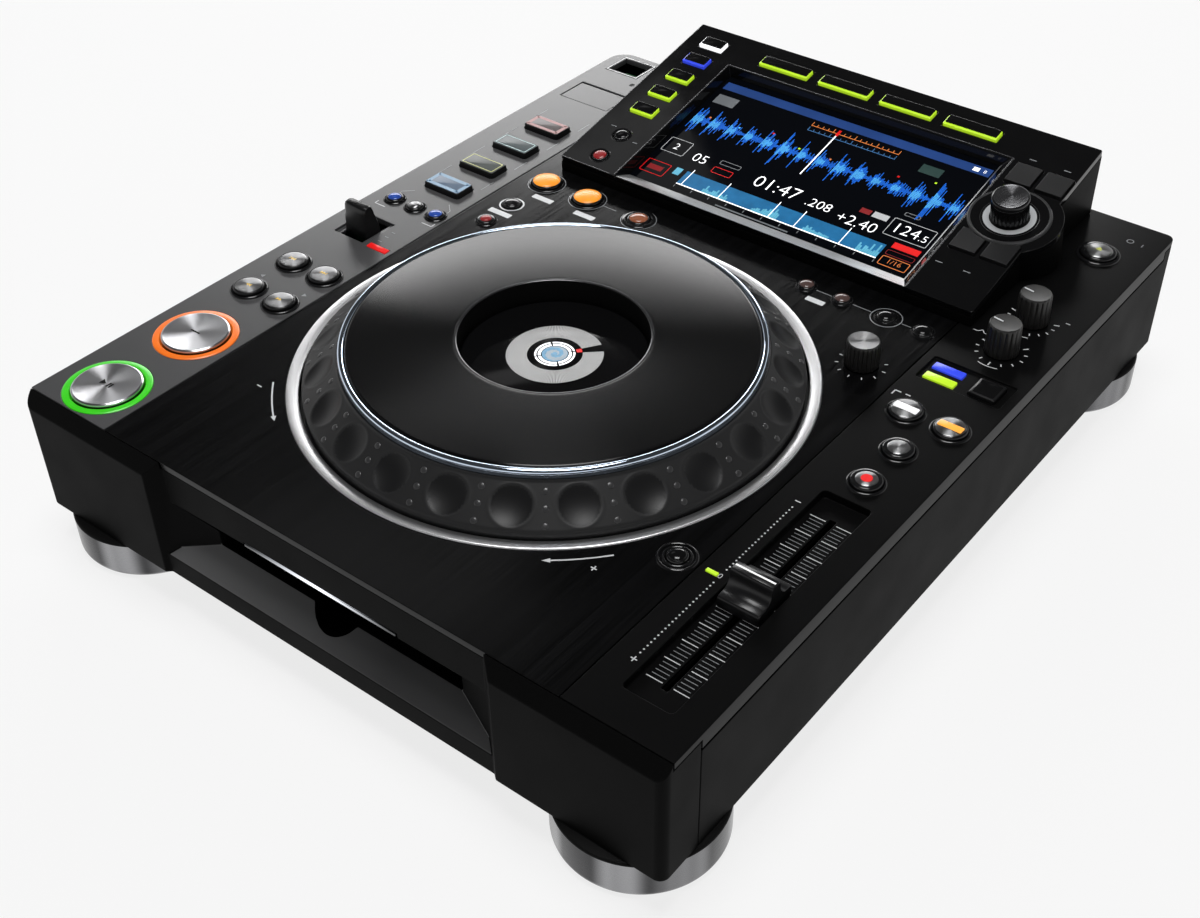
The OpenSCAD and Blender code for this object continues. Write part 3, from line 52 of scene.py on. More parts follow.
back = Vector((sin(YAW) * cos(PITCH), -cos(YAW) * cos(PITCH), sin(PITCH)))
right = Vector((cos(YAW), sin(YAW), 0))
up = back.cross(right)
right, up = cos(ROLL) * right + sin(ROLL) * up, cos(ROLL) * up - sin(ROLL) * right
camera = bpy.data.cameras.new("camera")
camera.sensor_width = 36
camera.lens = camera.sensor_width * FOCAL / PHOTO_W
camera.shift_x = (PHOTO_W / 2 - CENTRE_X) / PHOTO_W
camera.shift_y = (CENTRE_Y - PHOTO_H / 2) / PHOTO_W
camera.clip_start = 0.01
camera_object = bpy.data.objects.new("camera", camera)
scene.collection.objects.link(camera_object)
camera_object.matrix_world = Matrix((
    (right.x, up.x, back.x, EYE[0]), (right.y, up.y, back.y, EYE[1]),
    (right.z, up.z, back.z, EYE[2]), (0, 0, 0, 1)))
scene.camera = camera_object

# ---- places
# Right, front and rear of the case, and the height of its deck
RIGHT, FRONT, REAR = 160, -196, 196
DECK = 75
# Seams on both sides of the centre plate, and the jog wheel's centre
LEFT_SEAM, RIGHT_SEAM = -114.4, 114
JOG_Y = -54.4
# The display panel's slope, its front left corner and its screen's sides
TILT = radians(12.16)
PANEL_X = -102.8
PANEL_Y = 191.9 - 120 * cos(TILT)
PANEL_Z = 82.6
SCREEN_LEFT, SCREEN_RIGHT = PANEL_X + 32.5, PANEL_X + 189.8
# Selector, on the panel
SELECTOR = (104.8, 60.3)
# Left strip
KEYS_X = -134.3
PLAY_X, PLAY_Y, CUE_Y = -135.7, FRONT + 23.9, FRONT + 69.7
SEARCH_Y, TRACK_Y = FRONT + 106.8, FRONT + 133
BANK_Y = REAR - 190.9
PADS_Y, PAD_STEP = REAR - 167.6, 24.5
LEVER = (-140.5, -22, 66)
HOST_X, HOST_Y = -143.1, 182.9
# Centre plate: the row of keys in front of the display, and the keys that lie off it
ROW_Y = PANEL_Y - 15
RELOOP_X, SLICE_X = LEFT_SEAM + 70.2, LEFT_SEAM + 14.4
CALL_X, DELETE_X = RIGHT_SEAM - 57, RIGHT_SEAM - 26
RESET_X, RESET_Y = RIGHT_SEAM - 8.6, FRONT + 81.5
JOG_ADJUST = (97, PANEL_Y - 50.2)
# Right strip
FADER_X, FADER_Y = 137.4, -113.4
ADJUST_X, REAR_ADJUST_Y, FRONT_ADJUST_Y = 138.3, 94.4, 67
EJECT_X, EJECT_Y = RIGHT - 22, REAR - 35
MODE_X, MODE_Y = RIGHT_SEAM + 32.5, REAR - 156.4
SYNC_Y, TEMPO_KEY_X = REAR - 188.5, RIGHT - 22.6
SCALE_X, SCALE_ZERO = 123.1, -113.6
# Heights of what every key keeps under the deck: foot of the stem, and its flange
STEM, FLANGE, FLANGE_TOP = 67.1, 70.5, 71.7


# ---- materials
class Paint:
    """Builds one node material round its Principled shader."""

    def __init__(self, name, color, rough=0.5, metal=0.0, spec=0.5, glow=0.0, **more):
        self.mat = bpy.data.materials.new(name)
        self.mat.use_nodes = True
        self.tree = self.mat.node_tree
        self.shader = self.tree.nodes["Principled BSDF"]
        self.color = color
        self.rough = rough
        values = {"Base Color": (*color, 1), "Roughness": rough, "Metallic": metal,
                  "Specular IOR Level": spec}
        if glow:
            values.update({"Emission Color": (*color, 1), "Emission Strength": glow})
        values.update(more)
        for key, value in values.items():
            self.shader.inputs[key].default_value = value

    def node(self, kind, **values):
        """A new shader node; each value goes to the input or the setting of its name."""
        n = self.tree.nodes.new("ShaderNode" + kind)
        for key, value in values.items():
            if key in n.inputs:
                n.inputs[key].default_value = value
            else:
                setattr(n, key.lower(), value)
        return n

    def link(self, a, b):
        self.tree.links.new(a, b)

    def where(self, stretch=(1, 1, 1), source="Object"):
        """Coordinates of the point, stretched along each axis."""
        spot = self.node("TexCoord")
        scale = self.node("Mapping")
        scale.inputs["Scale"].default_value = stretch
        self.link(spot.outputs[source], scale.inputs["Vector"])
        return scale.outputs[0]

    def noise(self, size, stretch=(1, 1, 1), detail=2.0, source="Object"):
        """Noise whose features are about size millimetres (or size of a UV unit)."""
        n = self.node("TexNoise", Scale=(1000 if source == "Object" else 1) / size, Detail=detail)
        self.link(self.where(stretch, source), n.inputs["Vector"])
        return n.outputs["Fac"]

    def ramp(self, fac, low, high, a=0.3, b=0.7):
        """Goes from low to high while the factor goes from a to b."""
        r = self.node("MapRange")
        for key, value in (("From Min", a), ("From Max", b), ("To Min", low), ("To Max", high)):
            r.inputs[key].default_value = value
        self.link(fac, r.inputs[0])
        return r.outputs[0]

    def axis(self, index):
        """One coordinate of a point on the object, in metres."""
        axes = self.node("SeparateXYZ")
        self.link(self.where(), axes.inputs[0])
        return axes.outputs[index]

    def math(self, operation, a, b=None):
        """A sum on a socket and, if it takes two, on a number or a second socket."""
        n = self.node("Math", operation=operation)
        self.link(a, n.inputs[0])
        if isinstance(b, (int, float)):
            n.inputs[1].default_value = b
        elif b is not None:
            self.link(b, n.inputs[1])
        return n.outputs[0]

    def blend(self, fac, low, high):
        """Base colour that goes from low to high; either is a colour or a socket."""
        m = self.node("Mix", data_type="RGBA")
        for socket, value in ((m.inputs[6], low), (m.inputs[7], high)):
            if isinstance(value, bpy.types.NodeSocket):
                self.link(value, socket)
            else:
                socket.default_value = (*value, 1)
        self.link(fac, m.inputs[0])
        self.link(m.outputs[2], self.shader.inputs["Base Color"])
        return m.outputs[2]

    def tint(self, fac, spread):
        """Varies the colour by a share of itself."""
        mixed = self.blend(fac, [c * (1 - spread) for c in self.color],
                           [min(1, c * (1 + spread)) for c in self.color])
        if self.shader.inputs["Emission Strength"].default_value:
            self.link(mixed, self.shader.inputs["Emission Color"])
        return self

    def roughen(self, fac, spread):
        """Varies the roughness to both sides."""
        self.link(self.ramp(fac, self.rough - spread, self.rough + spread),
                  self.shader.inputs["Roughness"])
        return self

    def bump(self, fac, height, strength=0.5):
        """Fine relief, height millimetres deep."""
        b = self.node("Bump", Strength=strength, Distance=height / 1000)
        self.link(fac, b.inputs["Height"])
        self.link(b.outputs[0], self.shader.inputs["Normal"])
        return self


def moulded(name, color, rough=0.45, spec=0.35, grain=0.35, height=0.03, spread=0.12, wear=0.03):
    """Moulded plastic: fine spark-eroded grain, with spread in its colour and wear in its gloss."""
    p = Paint(name, color, rough, spec=spec)
    fine = p.noise(grain, detail=3)
    p.tint(p.noise(38, detail=4), spread)
    p.roughen(p.noise(22, detail=2), wear)
    return p.bump(fine, height).mat


def polished(name, color, rough=0.08, spec=0.5, **more):
    """Polished plastic or chrome, with faint wipe marks."""
    p = Paint(name, color, rough, spec=spec, **more)
    p.tint(p.noise(30), 0.06)
    p.roughen(p.noise(14, detail=6), min(rough * 0.6, 0.04))
    return p.bump(p.noise(9), 0.01, 0.15).mat


def brushed(name, color, stretch, rough=0.35, metal=0.8, size=0.5, height=0.02, spread=0.25, **more):
    """Metal brushed in one direction; stretch is small along the brushing."""
    p = Paint(name, color, rough, metal, **more)
    lines = p.noise(size, stretch, detail=3)
    wide = p.noise(size * 9, stretch, detail=2)
    both = p.node("Math", operation="MULTIPLY_ADD")
    both.inputs[1].default_value = 0.6
    p.link(lines, both.inputs[0])
    p.link(wide, both.inputs[2])
    p.tint(p.ramp(both.outputs[0], 0, 1, 0.6, 1.0), spread)
    p.roughen(lines, min(0.08, rough * 0.3))
    return p.bump(lines, height, 0.4).mat


def turned(name, color, rough=0.22, metal=1.0, ring=0.5, height=0.01, aniso=0.6, **more):
    """Metal or plastic turned on a lathe; the V coordinate runs across the rings."""
    p = Paint(name, color, rough, metal, **{"Anisotropic": aniso, "Anisotropic Rotation": 0.25}, **more)
    t = p.node("Tangent", direction_type="RADIAL", axis="Z")
    p.link(t.outputs[0], p.shader.inputs["Tangent"])
    rings = p.noise(ring, (0.02, 1, 1), detail=3, source="UV")
    p.tint(rings, 0.1)
    p.roughen(rings, 0.1 * rough)
    return p.bump(rings, height, 0.3).mat


def lit(name, color, glow, spread=0.12, rough=0.3, size=6):
    """A lens lit from below, or a print or mark given a faint painted glow; a little uneven."""
    p = Paint(name, color, rough, glow=glow)
    return p.tint(p.noise(size, detail=3), spread).mat


# ---- mesh tools
def circle(r, n):
    """Outline of a circle round the origin."""
    return [(r * cos(2 * pi * i / n), r * sin(2 * pi * i / n)) for i in range(n)]


def crowned(r, z, height):
    """Profile of a low dome from its rim at radius r up to its middle."""
    curve = [(r * cos(radians(a)), z + height * sin(radians(a))) for a in range(0, 90, 15)]
    return curve + [(0, z + height)]


def box(w, d, r=0.0, x=0.0, y=0.0, n=6):
    """Outline of a rectangle with rounded corners, centred on (x, y)."""
    if not r:
        return [(x - w / 2, y - d / 2), (x + w / 2, y - d / 2), (x + w / 2, y + d / 2),
                (x - w / 2, y + d / 2)]
    points = []
    for sx, sy, a in ((1, -1, -90), (1, 1, 0), (-1, 1, 90), (-1, -1, 180)):
        for i in range(n + 1):
            b = radians(a + 90 * i / n)
            points.append((x + sx * (w / 2 - r) + r * cos(b), y + sy * (d / 2 - r) + r * sin(b)))
    return points


def level(outline, z):
    """The outline as 3-D points at one height."""
    return [(x, y, z) for x, y in outline]


def shrink(outline, by):
    """Moves an anticlockwise outline inwards by a distance."""
    n, out = len(outline), []
    for i in range(n):
        a, b, c = (Vector(outline[(i + k) % n]) for k in (-1, 0, 1))
        u, v = (b - a).normalized(), (c - b).normalized()
        nu, nv = Vector((-u.y, u.x)), Vector((-v.y, v.x))
        m = (nu + nv).normalized()
        out.append(tuple(b + m * (by / max(0.3, m.dot(nu)))))
    return out


def tilted(x=0.0, v=0.0):
    """Frame of the display panel: X along the case, Y up the slope, Z off the panel."""
    return spot(0, PANEL_Y, PANEL_Z) @ Matrix.Rotation(TILT, 4, "X") @ spot(x, v)


def spot(x, y, z=0.0):
    """Frame of a place on the case, level with it."""
    return Matrix.Translation((x, y, z))


HERE = Matrix.Identity(4)
# Thickness of a printed line or figure
PRINT = 0.06


class Piece:
    """Collects shapes in millimetres, each with its material, into one object."""

    def __init__(self, name):
        self.name = name
        self.bm = bmesh.new()
        self.uv = self.bm.loops.layers.uv.new("uv")
        self.mats = []

    def row(self, points, at=HERE):
        """New vertices at 3-D points."""
        return [self.bm.verts.new(at @ Vector(p)) for p in points]

    def face(self, verts, mat, uvs=None):
        """One face; a face that is there already is left out."""
        if mat not in self.mats:
            self.mats.append(mat)
        try:
            f = self.bm.faces.new(verts)
        except ValueError:
            return
        f.material_index = self.mats.index(mat)
        f.smooth = True
        for loop, uv in zip(f.loops, uvs or [(v.co.x, v.co.y) for v in verts]):
            loop[self.uv].uv = uv

    def join(self, a, b, mat, closed=True):
        """Quads between two rows of vertices."""
        n = len(a)
        for i in range(n if closed else n - 1):
            j = (i + 1) % n
            self.face([a[i], a[j], b[j], b[i]], mat)

    def lathe(self, profile, mat, at=HERE, n=96, close=False):
        """Turns (radius, height) points round Z; a radius of 0 closes an end."""
        rings, v, path = [], [], 0.0
        points = list(profile) + ([profile[0]] if close else [])
        for i, (r, z) in enumerate(points):
            if i:
                path += hypot(r - points[i - 1][0], z - points[i - 1][1])
            v.append(path)
            if close and i == len(points) - 1:
                rings.append(rings[0])
            elif r < 1e-6:
                rings.append(self.row([(0, 0, z)], at))
            else:
                rings.append(self.row(level(circle(r, n), z), at))
        for a, b, va, vb in zip(rings, rings[1:], v, v[1:]):
            for i in range(n):
                j, u0, u1 = (i + 1) % n, i / n, (i + 1) / n
                if len(a) == 1:
                    self.face([a[0], b[i], b[j]], mat, [(u0, va), (u0, vb), (u1, vb)])
                elif len(b) == 1:
                    self.face([a[j], a[i], b[0]], mat, [(u1, va), (u0, va), (u0, vb)])
                else:
                    self.face([a[j], a[i], b[i], b[j]], mat, [(u1, va), (u0, va), (u0, vb), (u1, vb)])

    def slab(self, outline, z0, z1, mat, at=HERE, edge=0.0, steps=2, side=None, under=True):
        """Extrudes an outline, with a rounded upper edge; under closes it below."""
        layers = [(outline, z0)]
        if edge:
            for k in range(steps + 1):
                a = pi / 2 * k / steps
                layers.append((shrink(outline, edge * (1 - cos(a))), z1 - edge * (1 - sin(a))))
        else:
            layers.append((outline, z1))
        rings = [self.row(level(o, z), at) for o, z in layers]
        for a, b in zip(rings, rings[1:]):
            self.join(a, b, side or mat)
        self.face(rings[-1], mat)
        if under:
            self.face(rings[0][::-1], side or mat)

    def flat(self, outline, z, mat, at=HERE, thick=0.05):
        """A thin print or inlay that lies at height z."""
        self.slab(outline, z, z + thick, mat, at, under=False)

    def skin(self, rows, mat):
        """Joins rows of 3-D points that each run round a body, and closes both ends."""
        rings = [self.row(row) for row in rows]
        for a, b in zip(rings, rings[1:]):
            self.join(a, b, mat)
        self.face(rings[0], mat)
        self.face(rings[-1][::-1], mat)

    def band(self, a, b, mat, at=HERE, closed=True):
        """A strip of quads between two rows of 3-D points."""
        self.join(self.row(a, at), self.row(b, at), mat, closed)

    def arc(self, r0, r1, a0, a1, z, mat, at=HERE, thick=PRINT):
        """A flat curved bar between two radii and two angles in degrees, lying at height z."""
        n = max(2, int(abs(a1 - a0) / 3) + 1)
        turn = [radians(a0 + (a1 - a0) * i / n) for i in range(n + 1)]
        outline = ([(r1 * cos(a), r1 * sin(a)) for a in turn]
                   + [(r0 * cos(a), r0 * sin(a)) for a in reversed(turn)])
        self.flat(outline, z, mat, at, thick)

    def disc_ring(self, r0, r1, z, mat, at=HERE, thick=PRINT):
        """A flat ring between two radii."""
        self.lathe([(r1, z), (r1, z + thick), (r0, z + thick), (r0, z)], mat, at, 64)

    def line(self, points, width, z, mat, at=HERE):
        """A flat stroke of even width through 2-D points."""
        for (x0, y0), (x1, y1) in zip(points, points[1:]):
            half = width / 2 / hypot(x1 - x0, y1 - y0)
            nx, ny = (y0 - y1) * half, (x1 - x0) * half
            self.flat([(x0 + nx, y0 + ny), (x0 - nx, y0 - ny), (x1 - nx, y1 - ny), (x1 + nx, y1 + ny)],
                      z, mat, at, PRINT)

    def number(self, text, size, z, mat, at=HERE):
        """Plain figures, centred on the frame's origin."""
        curve = bpy.data.curves.new("figures", "FONT")
        curve.body, curve.size = text, size
        curve.align_x = curve.align_y = "CENTER"
        curve.resolution_u = 3
        curve.offset = -0.014 * size
        holder = bpy.data.objects.new("figures", curve)
        scene.collection.objects.link(holder)
        mesh = bpy.data.meshes.new_from_object(holder)
        at = at @ spot(0, 0, z + PRINT)
        verts = [self.bm.verts.new(at @ v.co) for v in mesh.vertices]
        for p in mesh.polygons:
            self.face([verts[i] for i in p.vertices], mat)
        bpy.data.objects.remove(holder)
        bpy.data.meshes.remove(mesh)
        bpy.data.curves.remove(curve)

    def done(self, body="case", replaces=(), sharp=38):
        """Makes the object in metres and hands it to its body."""
        self.bm.normal_update()
        mesh = bpy.data.meshes.new(self.name)
        self.bm.to_mesh(mesh)
        self.bm.free()
        mesh.transform(Matrix.Scale(0.001, 4))
        for m in self.mats:
            mesh.materials.append(m)
        mesh.set_sharp_from_angle(angle=radians(sharp))
        obj = bpy.data.objects.new(self.name, mesh)
        scene.collection.objects.link(obj)
        placed(obj, body, replaces)

    def stand_for(self, node, slot, sharp=38):
        """The piece shows in place of a moving node, and rides on the body of the same name."""
        self.done(node, (node,), sharp)


def placed(obj, body, replaces=()):
    """Ties an object to its body and hides the nodes that it stands for."""
    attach(obj, body)
    if replaces:
        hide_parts(*replaces)
    return obj


def softened(node, width, mat, body="case", segments=2):
    """A copy of a CAD node with its sharp edges rounded, shown in its place."""
    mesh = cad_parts[node].data.copy()
    bm = bmesh.new()
    bm.from_mesh(mesh)
    bmesh.ops.remove_doubles(bm, verts=bm.verts, dist=2e-6)
    bmesh.ops.dissolve_limit(bm, angle_limit=radians(1), verts=bm.verts, edges=bm.edges)
    bm.normal_update()
    edges = [e for e in bm.edges if len(e.link_faces) == 2 and e.calc_face_angle(0) > radians(32)]
    bmesh.ops.bevel(bm, geom=edges, offset=width / 1000, segments=segments, profile=0.5,
                    affect="EDGES", clamp_overlap=False)
    for f in bm.faces:
        f.smooth = True
        f.material_index = 0
    bm.to_mesh(mesh)
    bm.free()
    mesh.materials.clear()
    mesh.materials.append(mat)
    obj = bpy.data.objects.new(node + "_shell", mesh)
    scene.collection.objects.link(obj)
    even = obj.modifiers.new("even", "WEIGHTED_NORMAL")
    even.weight = 80
    return placed(obj, body, (node,))


def finish_node(node, mat):
    """Gives a CAD node a better material."""
    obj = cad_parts[node]
    obj.data.materials.clear()
    obj.data.materials.append(mat)


# ---- finishes
case_black = moulded("case_black", (0.003, 0.003, 0.003), 0.45, 0.02)
strip_grey = moulded("strip_grey", (0.066, 0.066, 0.068), 0.3, 0.32, grain=0.5, height=0.006, spread=0.03,
                     wear=0.004)
strip_black = moulded("strip_black", (0.0032, 0.0032, 0.0033), 0.3, 0.05, grain=0.5, height=0.006,
                      wear=0.01)
key_black = moulded("key_black", (0.006, 0.006, 0.0065), 0.3, 0.35, grain=0.6, height=0.008)
inner_black = moulded("inner_black", (0.003, 0.003, 0.003), 0.55, 0.12)
key_grey = moulded("key_grey", (0.011, 0.011, 0.0115), 0.34, 0.4, grain=0.5, height=0.01)
gloss_black = polished("gloss_black", (0.004, 0.004, 0.0043), 0.1, 0.3)
bezel_black = polished("bezel_black", (0.006, 0.006, 0.0065), 0.16, 0.45)
knob_grey = moulded("knob_grey", (0.016, 0.0155, 0.015), 0.34, 0.4)
grip_rubber = moulded("grip_rubber", (0.017, 0.017, 0.0175), 0.42, 0.25, grain=0.25, height=0.015)
grip_dimple = moulded("grip_dimple", (0.008, 0.008, 0.0085), 0.38, 0.25, grain=0.25, height=0.01)
deck_metal = brushed("deck_metal", (0.0026, 0.0026, 0.0028), (1, 0.012, 1), 0.17, 0.0, size=0.4,
                     height=0.003, spread=0.4, spec=0.14)
ring_metal = turned("ring_metal", (0.76, 0.76, 0.77), 0.34, ring=0.7, height=0.003, aniso=0.0)
blue_chrome = polished("blue_chrome", (0.55, 0.63, 0.74), 0.07, Metallic=1.0)
spun = turned("spun", (0.62, 0.62, 0.64), 0.3, ring=0.35, aniso=0.9)
spun_dark = turned("spun_dark", (0.3, 0.3, 0.305), 0.3, ring=0.3, aniso=0.9)
platter_black = turned("platter_black", (0.0022, 0.0022, 0.0024), 0.2, 0.0, ring=0.6, height=0.0008,
                       aniso=0.9, spec=0.3)
steel = brushed("steel", (0.45, 0.45, 0.46), (0.05, 1, 1), 0.35, 1.0)
gold = brushed("gold", (0.75, 0.52, 0.2), (0.1, 1, 1), 0.25, 1.0)
sheet_metal = moulded("sheet_metal", (0.03, 0.03, 0.031), 0.5, 0.4, grain=0.8, height=0.05)
# Prints glow a little: on the screens that is their own light, on the deck, keys and sockets it is a
# painted glow
print_white = lit("print_white", (0.5, 0.51, 0.52), 0.25)
print_dim = lit("print_dim", (0.22, 0.23, 0.24), 0.12)
white_lit = lit("white_lit", (0.95, 0.96, 1.0), 0.95, 0.05)
green_lit = lit("green_lit", (0.035, 0.5, 0.01), 0.4)
orange_lit = lit("orange_lit", (0.75, 0.15, 0.012), 0.4)
amber_lit = lit("amber_lit", (0.85, 0.27, 0.02), 0.5, 0.3, size=4)
lime_lit = lit("lime_lit", (0.46, 0.74, 0.02), 0.45)
blue_lit = lit("blue_lit", (0.03, 0.06, 0.7), 0.5)
red_lit = lit("red_lit", (0.62, 0.006, 0.006), 0.5)
red_dim = lit("red_dim", (0.24, 0.008, 0.01), 0.25)
# Arrows on the search keys, printed, with a painted glow
yellow_mark = lit("yellow_mark", (0.75, 0.5, 0.08), 0.2)


def board_paint():
    """Green boards, with the black body of the fader on the right."""
    p = Paint("board_green", (0.008, 0.07, 0.022), 0.4)
    p.tint(p.noise(14, detail=4), 0.3)
    p.bump(p.noise(1.5, detail=3), 0.02)
    green = p.shader.inputs["Base Color"].links[0].from_socket
    p.blend(p.math("GREATER_THAN", p.axis(0), 0.122), green, (0.003, 0.003, 0.003))
    return p.mat


def bevel_paint():
    """Brushed face with a painted reflection: pale at both ends of the screen and dark between them."""
    p = Paint("bevel_painted_reflection", (0.5, 0.51, 0.52), 0.32, 0.8)
    away = p.math("ABSOLUTE", p.math("ADD", p.axis(0), -0.008))
    p.blend(p.ramp(away, 0, 1, 0.04, 0.074), (0.09, 0.092, 0.095), (0.62, 0.63, 0.64))
    lines = p.noise(0.4, (0.02, 1, 1), detail=3)
    p.roughen(lines, 0.06)
    return p.bump(lines, 0.01, 0.4).mat


def sill_paint():
    """Satin grey-black of the sloped sill, with a painted sheen that makes it paler to the left."""
    p = Paint("sill_satin_painted_sheen", (0.05, 0.05, 0.051), 0.3, spec=0.5)
    p.blend(p.ramp(p.axis(0), 0, 1, -0.08, 0.03), (0.1, 0.1, 0.102), (0.03, 0.03, 0.031))
    p.roughen(p.noise(20), 0.02)
    return p.bump(p.noise(0.4, detail=3), 0.006).mat


def foot_paint():
    """Turned metal with painted reflections: long soft light and dark streaks up its side."""
    p = Paint("foot_metal", (0.4, 0.4, 0.41), 0.26, 1.0)
    painted_reflection = p.noise(0.4, (1, 1, 0), detail=0.6, source="Normal")
    p.blend(p.ramp(painted_reflection, 0, 1, 0.4, 0.64), (0.045, 0.045, 0.047), (0.36, 0.36, 0.37))
    rings = p.noise(0.5, (0.02, 1, 1), detail=3, source="UV")
    p.roughen(rings, 0.04)
    return p.bump(rings, 0.01, 0.3).mat


def slot_glow():
    """The light over the slot, brightest in the middle."""
    p = Paint("slot_glow", (0.9, 0.93, 1.0), 0.3, glow=1.0)
    p.shader.inputs["Base Color"].default_value = (0.02, 0.02, 0.021, 1)
    near = p.ramp(p.math("ABSOLUTE", p.axis(0)), 1.4, 0.12, 0.0, 0.037)
    p.link(p.math("POWER", near, 1.8), p.shader.inputs["Emission Strength"])
    return p.mat


# Brushed face of the screen's recess, with its reflection painted into the colour
bevel_painted_reflection = bevel_paint()

# ---- case
# The sloped faces of the sill under the slot have their own satin finish, with a painted sheen that is
# paler to the left
SILL_HALF, SILL_TOP = 0.081, 0.04
front = softened("front_panel", 0.5, case_black, segments=3)
front.data.materials.append(sill_paint())
for f in front.data.polygons:
    sloped = f.normal.y < -0.5 and f.normal.z > 0.5
    if sloped and abs(f.center.x) < SILL_HALF and f.center.z < SILL_TOP:
        f.material_index = len(front.data.materials) - 1
for node, width, mat in (("case_shell", 0.45, case_black), ("left_deck_panel", 0.3, strip_grey),
                         ("centre_plate", 0.25, deck_metal), ("right_deck_panel", 0.3, strip_black),
                         ("base_tray", 0.3, sheet_metal), ("rear_panel", 0.3, case_black),
                         ("screws", 0.15, steel)):
    softened(node, width, mat)
for node, mat in (("disc_drive", inner_black), ("circuit_boards", board_paint()),
                  ("power_supply", steel), ("jog_well", inner_black), ("jog_bearing", steel)):
    finish_node(node, mat)

FOOT_X, FOOT_Y = 130, 168
FOOT_R, FOOT_ROUND, LEDGE = 32.5, 4, 17.6
foot_metal = foot_paint()
feet = Piece("feet_turned")
for sx in (-1, 1):
    for sy in (-1, 1):
        at = spot(sx * FOOT_X, sy * FOOT_Y)
        curve = [(FOOT_R - FOOT_ROUND * (1 - sin(radians(a))), FOOT_ROUND * (1 - cos(radians(a))))
                 for a in range(0, 100, 10)]
        feet.lathe([(0, 1.2), (20, 1.2), (20.6, 0), *curve, (FOOT_R, LEDGE)], foot_metal, at, 128)
        # The top of each foot, under the case's edge, is painted black as shade
        feet.lathe([(FOOT_R, LEDGE), (32.3, 18.1), (31.6, 18.5), (0, 18.5)], inner_black, at, 128)
        feet.lathe([(0, 0.25), (19.4, 0.25), (19.9, 0.8), (19.9, 1.25)], inner_black, at, 96)
feet.done("case", ("feet",), sharp=50)

# Light strip over the slot, and light rings of play and cue
lights = Piece("light_guides_lit")
lights.slab(box(77.6, 1.8, 0.3, 0, -189.85), 55.8, 56.7, slot_glow())
for y, mat in ((PLAY_Y, green_lit), (CUE_Y, orange_lit)):
    lights.lathe([(15.0, 71), (15.0, 75.0), (15.3, 75.3), (17.4, 75.4), (17.9, 75.05), (17.9, 72),
                  (18.7, 71.8), (18.7, 69.9), (15.0, 69.9)], mat, spot(PLAY_X, y), 96, close=True)
# Lamps of the lever, the two modes and the fader's middle
for w, d, r, x, y, z, mat, edge in ((11.4, 3.3, 0.4, -123, -31.2, 75.25, red_lit, 0.2),
                                    (13.9, 4.6, 0.5, 127.3, 43.1, 74.5, blue_lit, 0.2),
                                    (13.9, 4.6, 0.5, 127.3, 35.4, 74.5, lime_lit, 0.2),
                                    (4.9, 1.7, 0.3, 119.6, FADER_Y, 75.25, lime_lit, 0.15)):
    lights.slab(box(w, d, r, x, y), 71.5, z, mat, edge=edge)
# Frame of the host socket
for dx, dy, w, d in ((0, -8.15, 20, 1.2), (0, 8.15, 20, 1.2), (-9.4, 0, 1.2, 15.1), (9.4, 0, 1.2, 15.1)):
    lights.slab(box(w, d, 0, HOST_X + dx, HOST_Y + dy), 72.2, 75.1, strip_grey, edge=0.15)
frame_white = lit("frame_white", (0.6, 0.61, 0.62), 0.2)
lights.band(level(box(20, 17.5, 0.4, HOST_X, HOST_Y, 3), 75.16),
            level(box(18.9, 16.4, 0.3, HOST_X, HOST_Y, 3), 75.16), frame_white)
# Dish and lit ring of the selector
at = tilted(*SELECTOR)
lights.lathe([(9.0, 0.12), (9.0, -2.6), (3.7, -2.6), (3.7, 0.05), (4.1, 0.12), (9.0, 0.12)], inner_black,
             at, 96)
lights.lathe([(11.7, 0.15), (9.0, 0.15)], lit("selector_ring", (0.38, 0.39, 0.4), 0.12), at, 96)
lights.lathe([(11.7, 0.15), (12.6, 0.05), (12.6, -2.6), (9.0, -2.6)], bezel_black, at, 96)
lights.done("case", ("light_guides",))

# ---- jog wheel
ring = Piece("jog_well_ring_turned")
ring.lathe([(103.95, 71), (103.95, 74), (103.1, 74.3), (103.1, 74.6), (103.4, 74.85), (107.7, 75.55),
            (108.1, 75.4), (108.28, 75), (108.28, 71)], ring_metal, spot(0, JOG_Y), 256, close=True)
ring.done("case", ("jog_well_ring",), sharp=60)

# The grip's slope starts at GRIP_FOOT and runs inwards and up; s is the share of the slope.
# DIMPLES hollows lie round it at DIMPLE_S, DIP deep at most and DIMPLE_R in radius, with a low rim.
GRIP_FOOT, GRIP_RUN, GRIP_RISE = (103.3, 76.2), 17, 13.2
GRIP_LOW, GRIP_TOP = 0.12, 0.955
GRIP_ROWS, DIMPLES = 30, 24
GRIP_TURN = DIMPLES * 30
DIMPLE_S, DIMPLE_R, DIP = 0.53, 8, 1.3
slope_run = hypot(GRIP_RUN, GRIP_RISE)


def on_grip(s):
    """Radius and height of the slope at its share s."""
    return GRIP_FOOT[0] - GRIP_RUN * s, GRIP_FOOT[1] + GRIP_RISE * s


def from_dimple(k, r, s):
    """Distance along the slope from the nearest dimple's centre, at step k of the turn."""
    off = (k / GRIP_TURN * DIMPLES + 0.5) % 1 - 0.5
    return hypot(off * radians(360 / DIMPLES) * r, (s - DIMPLE_S) * slope_run)


def dip_at(d):
    """Depth under the slope at a distance from a dimple's centre."""
    hollow = max(0.0, DIP * (1 - (d / DIMPLE_R) ** 2))
    return hollow - 0.16 * max(0.0, 1 - abs(d - 8.2) / 0.7)


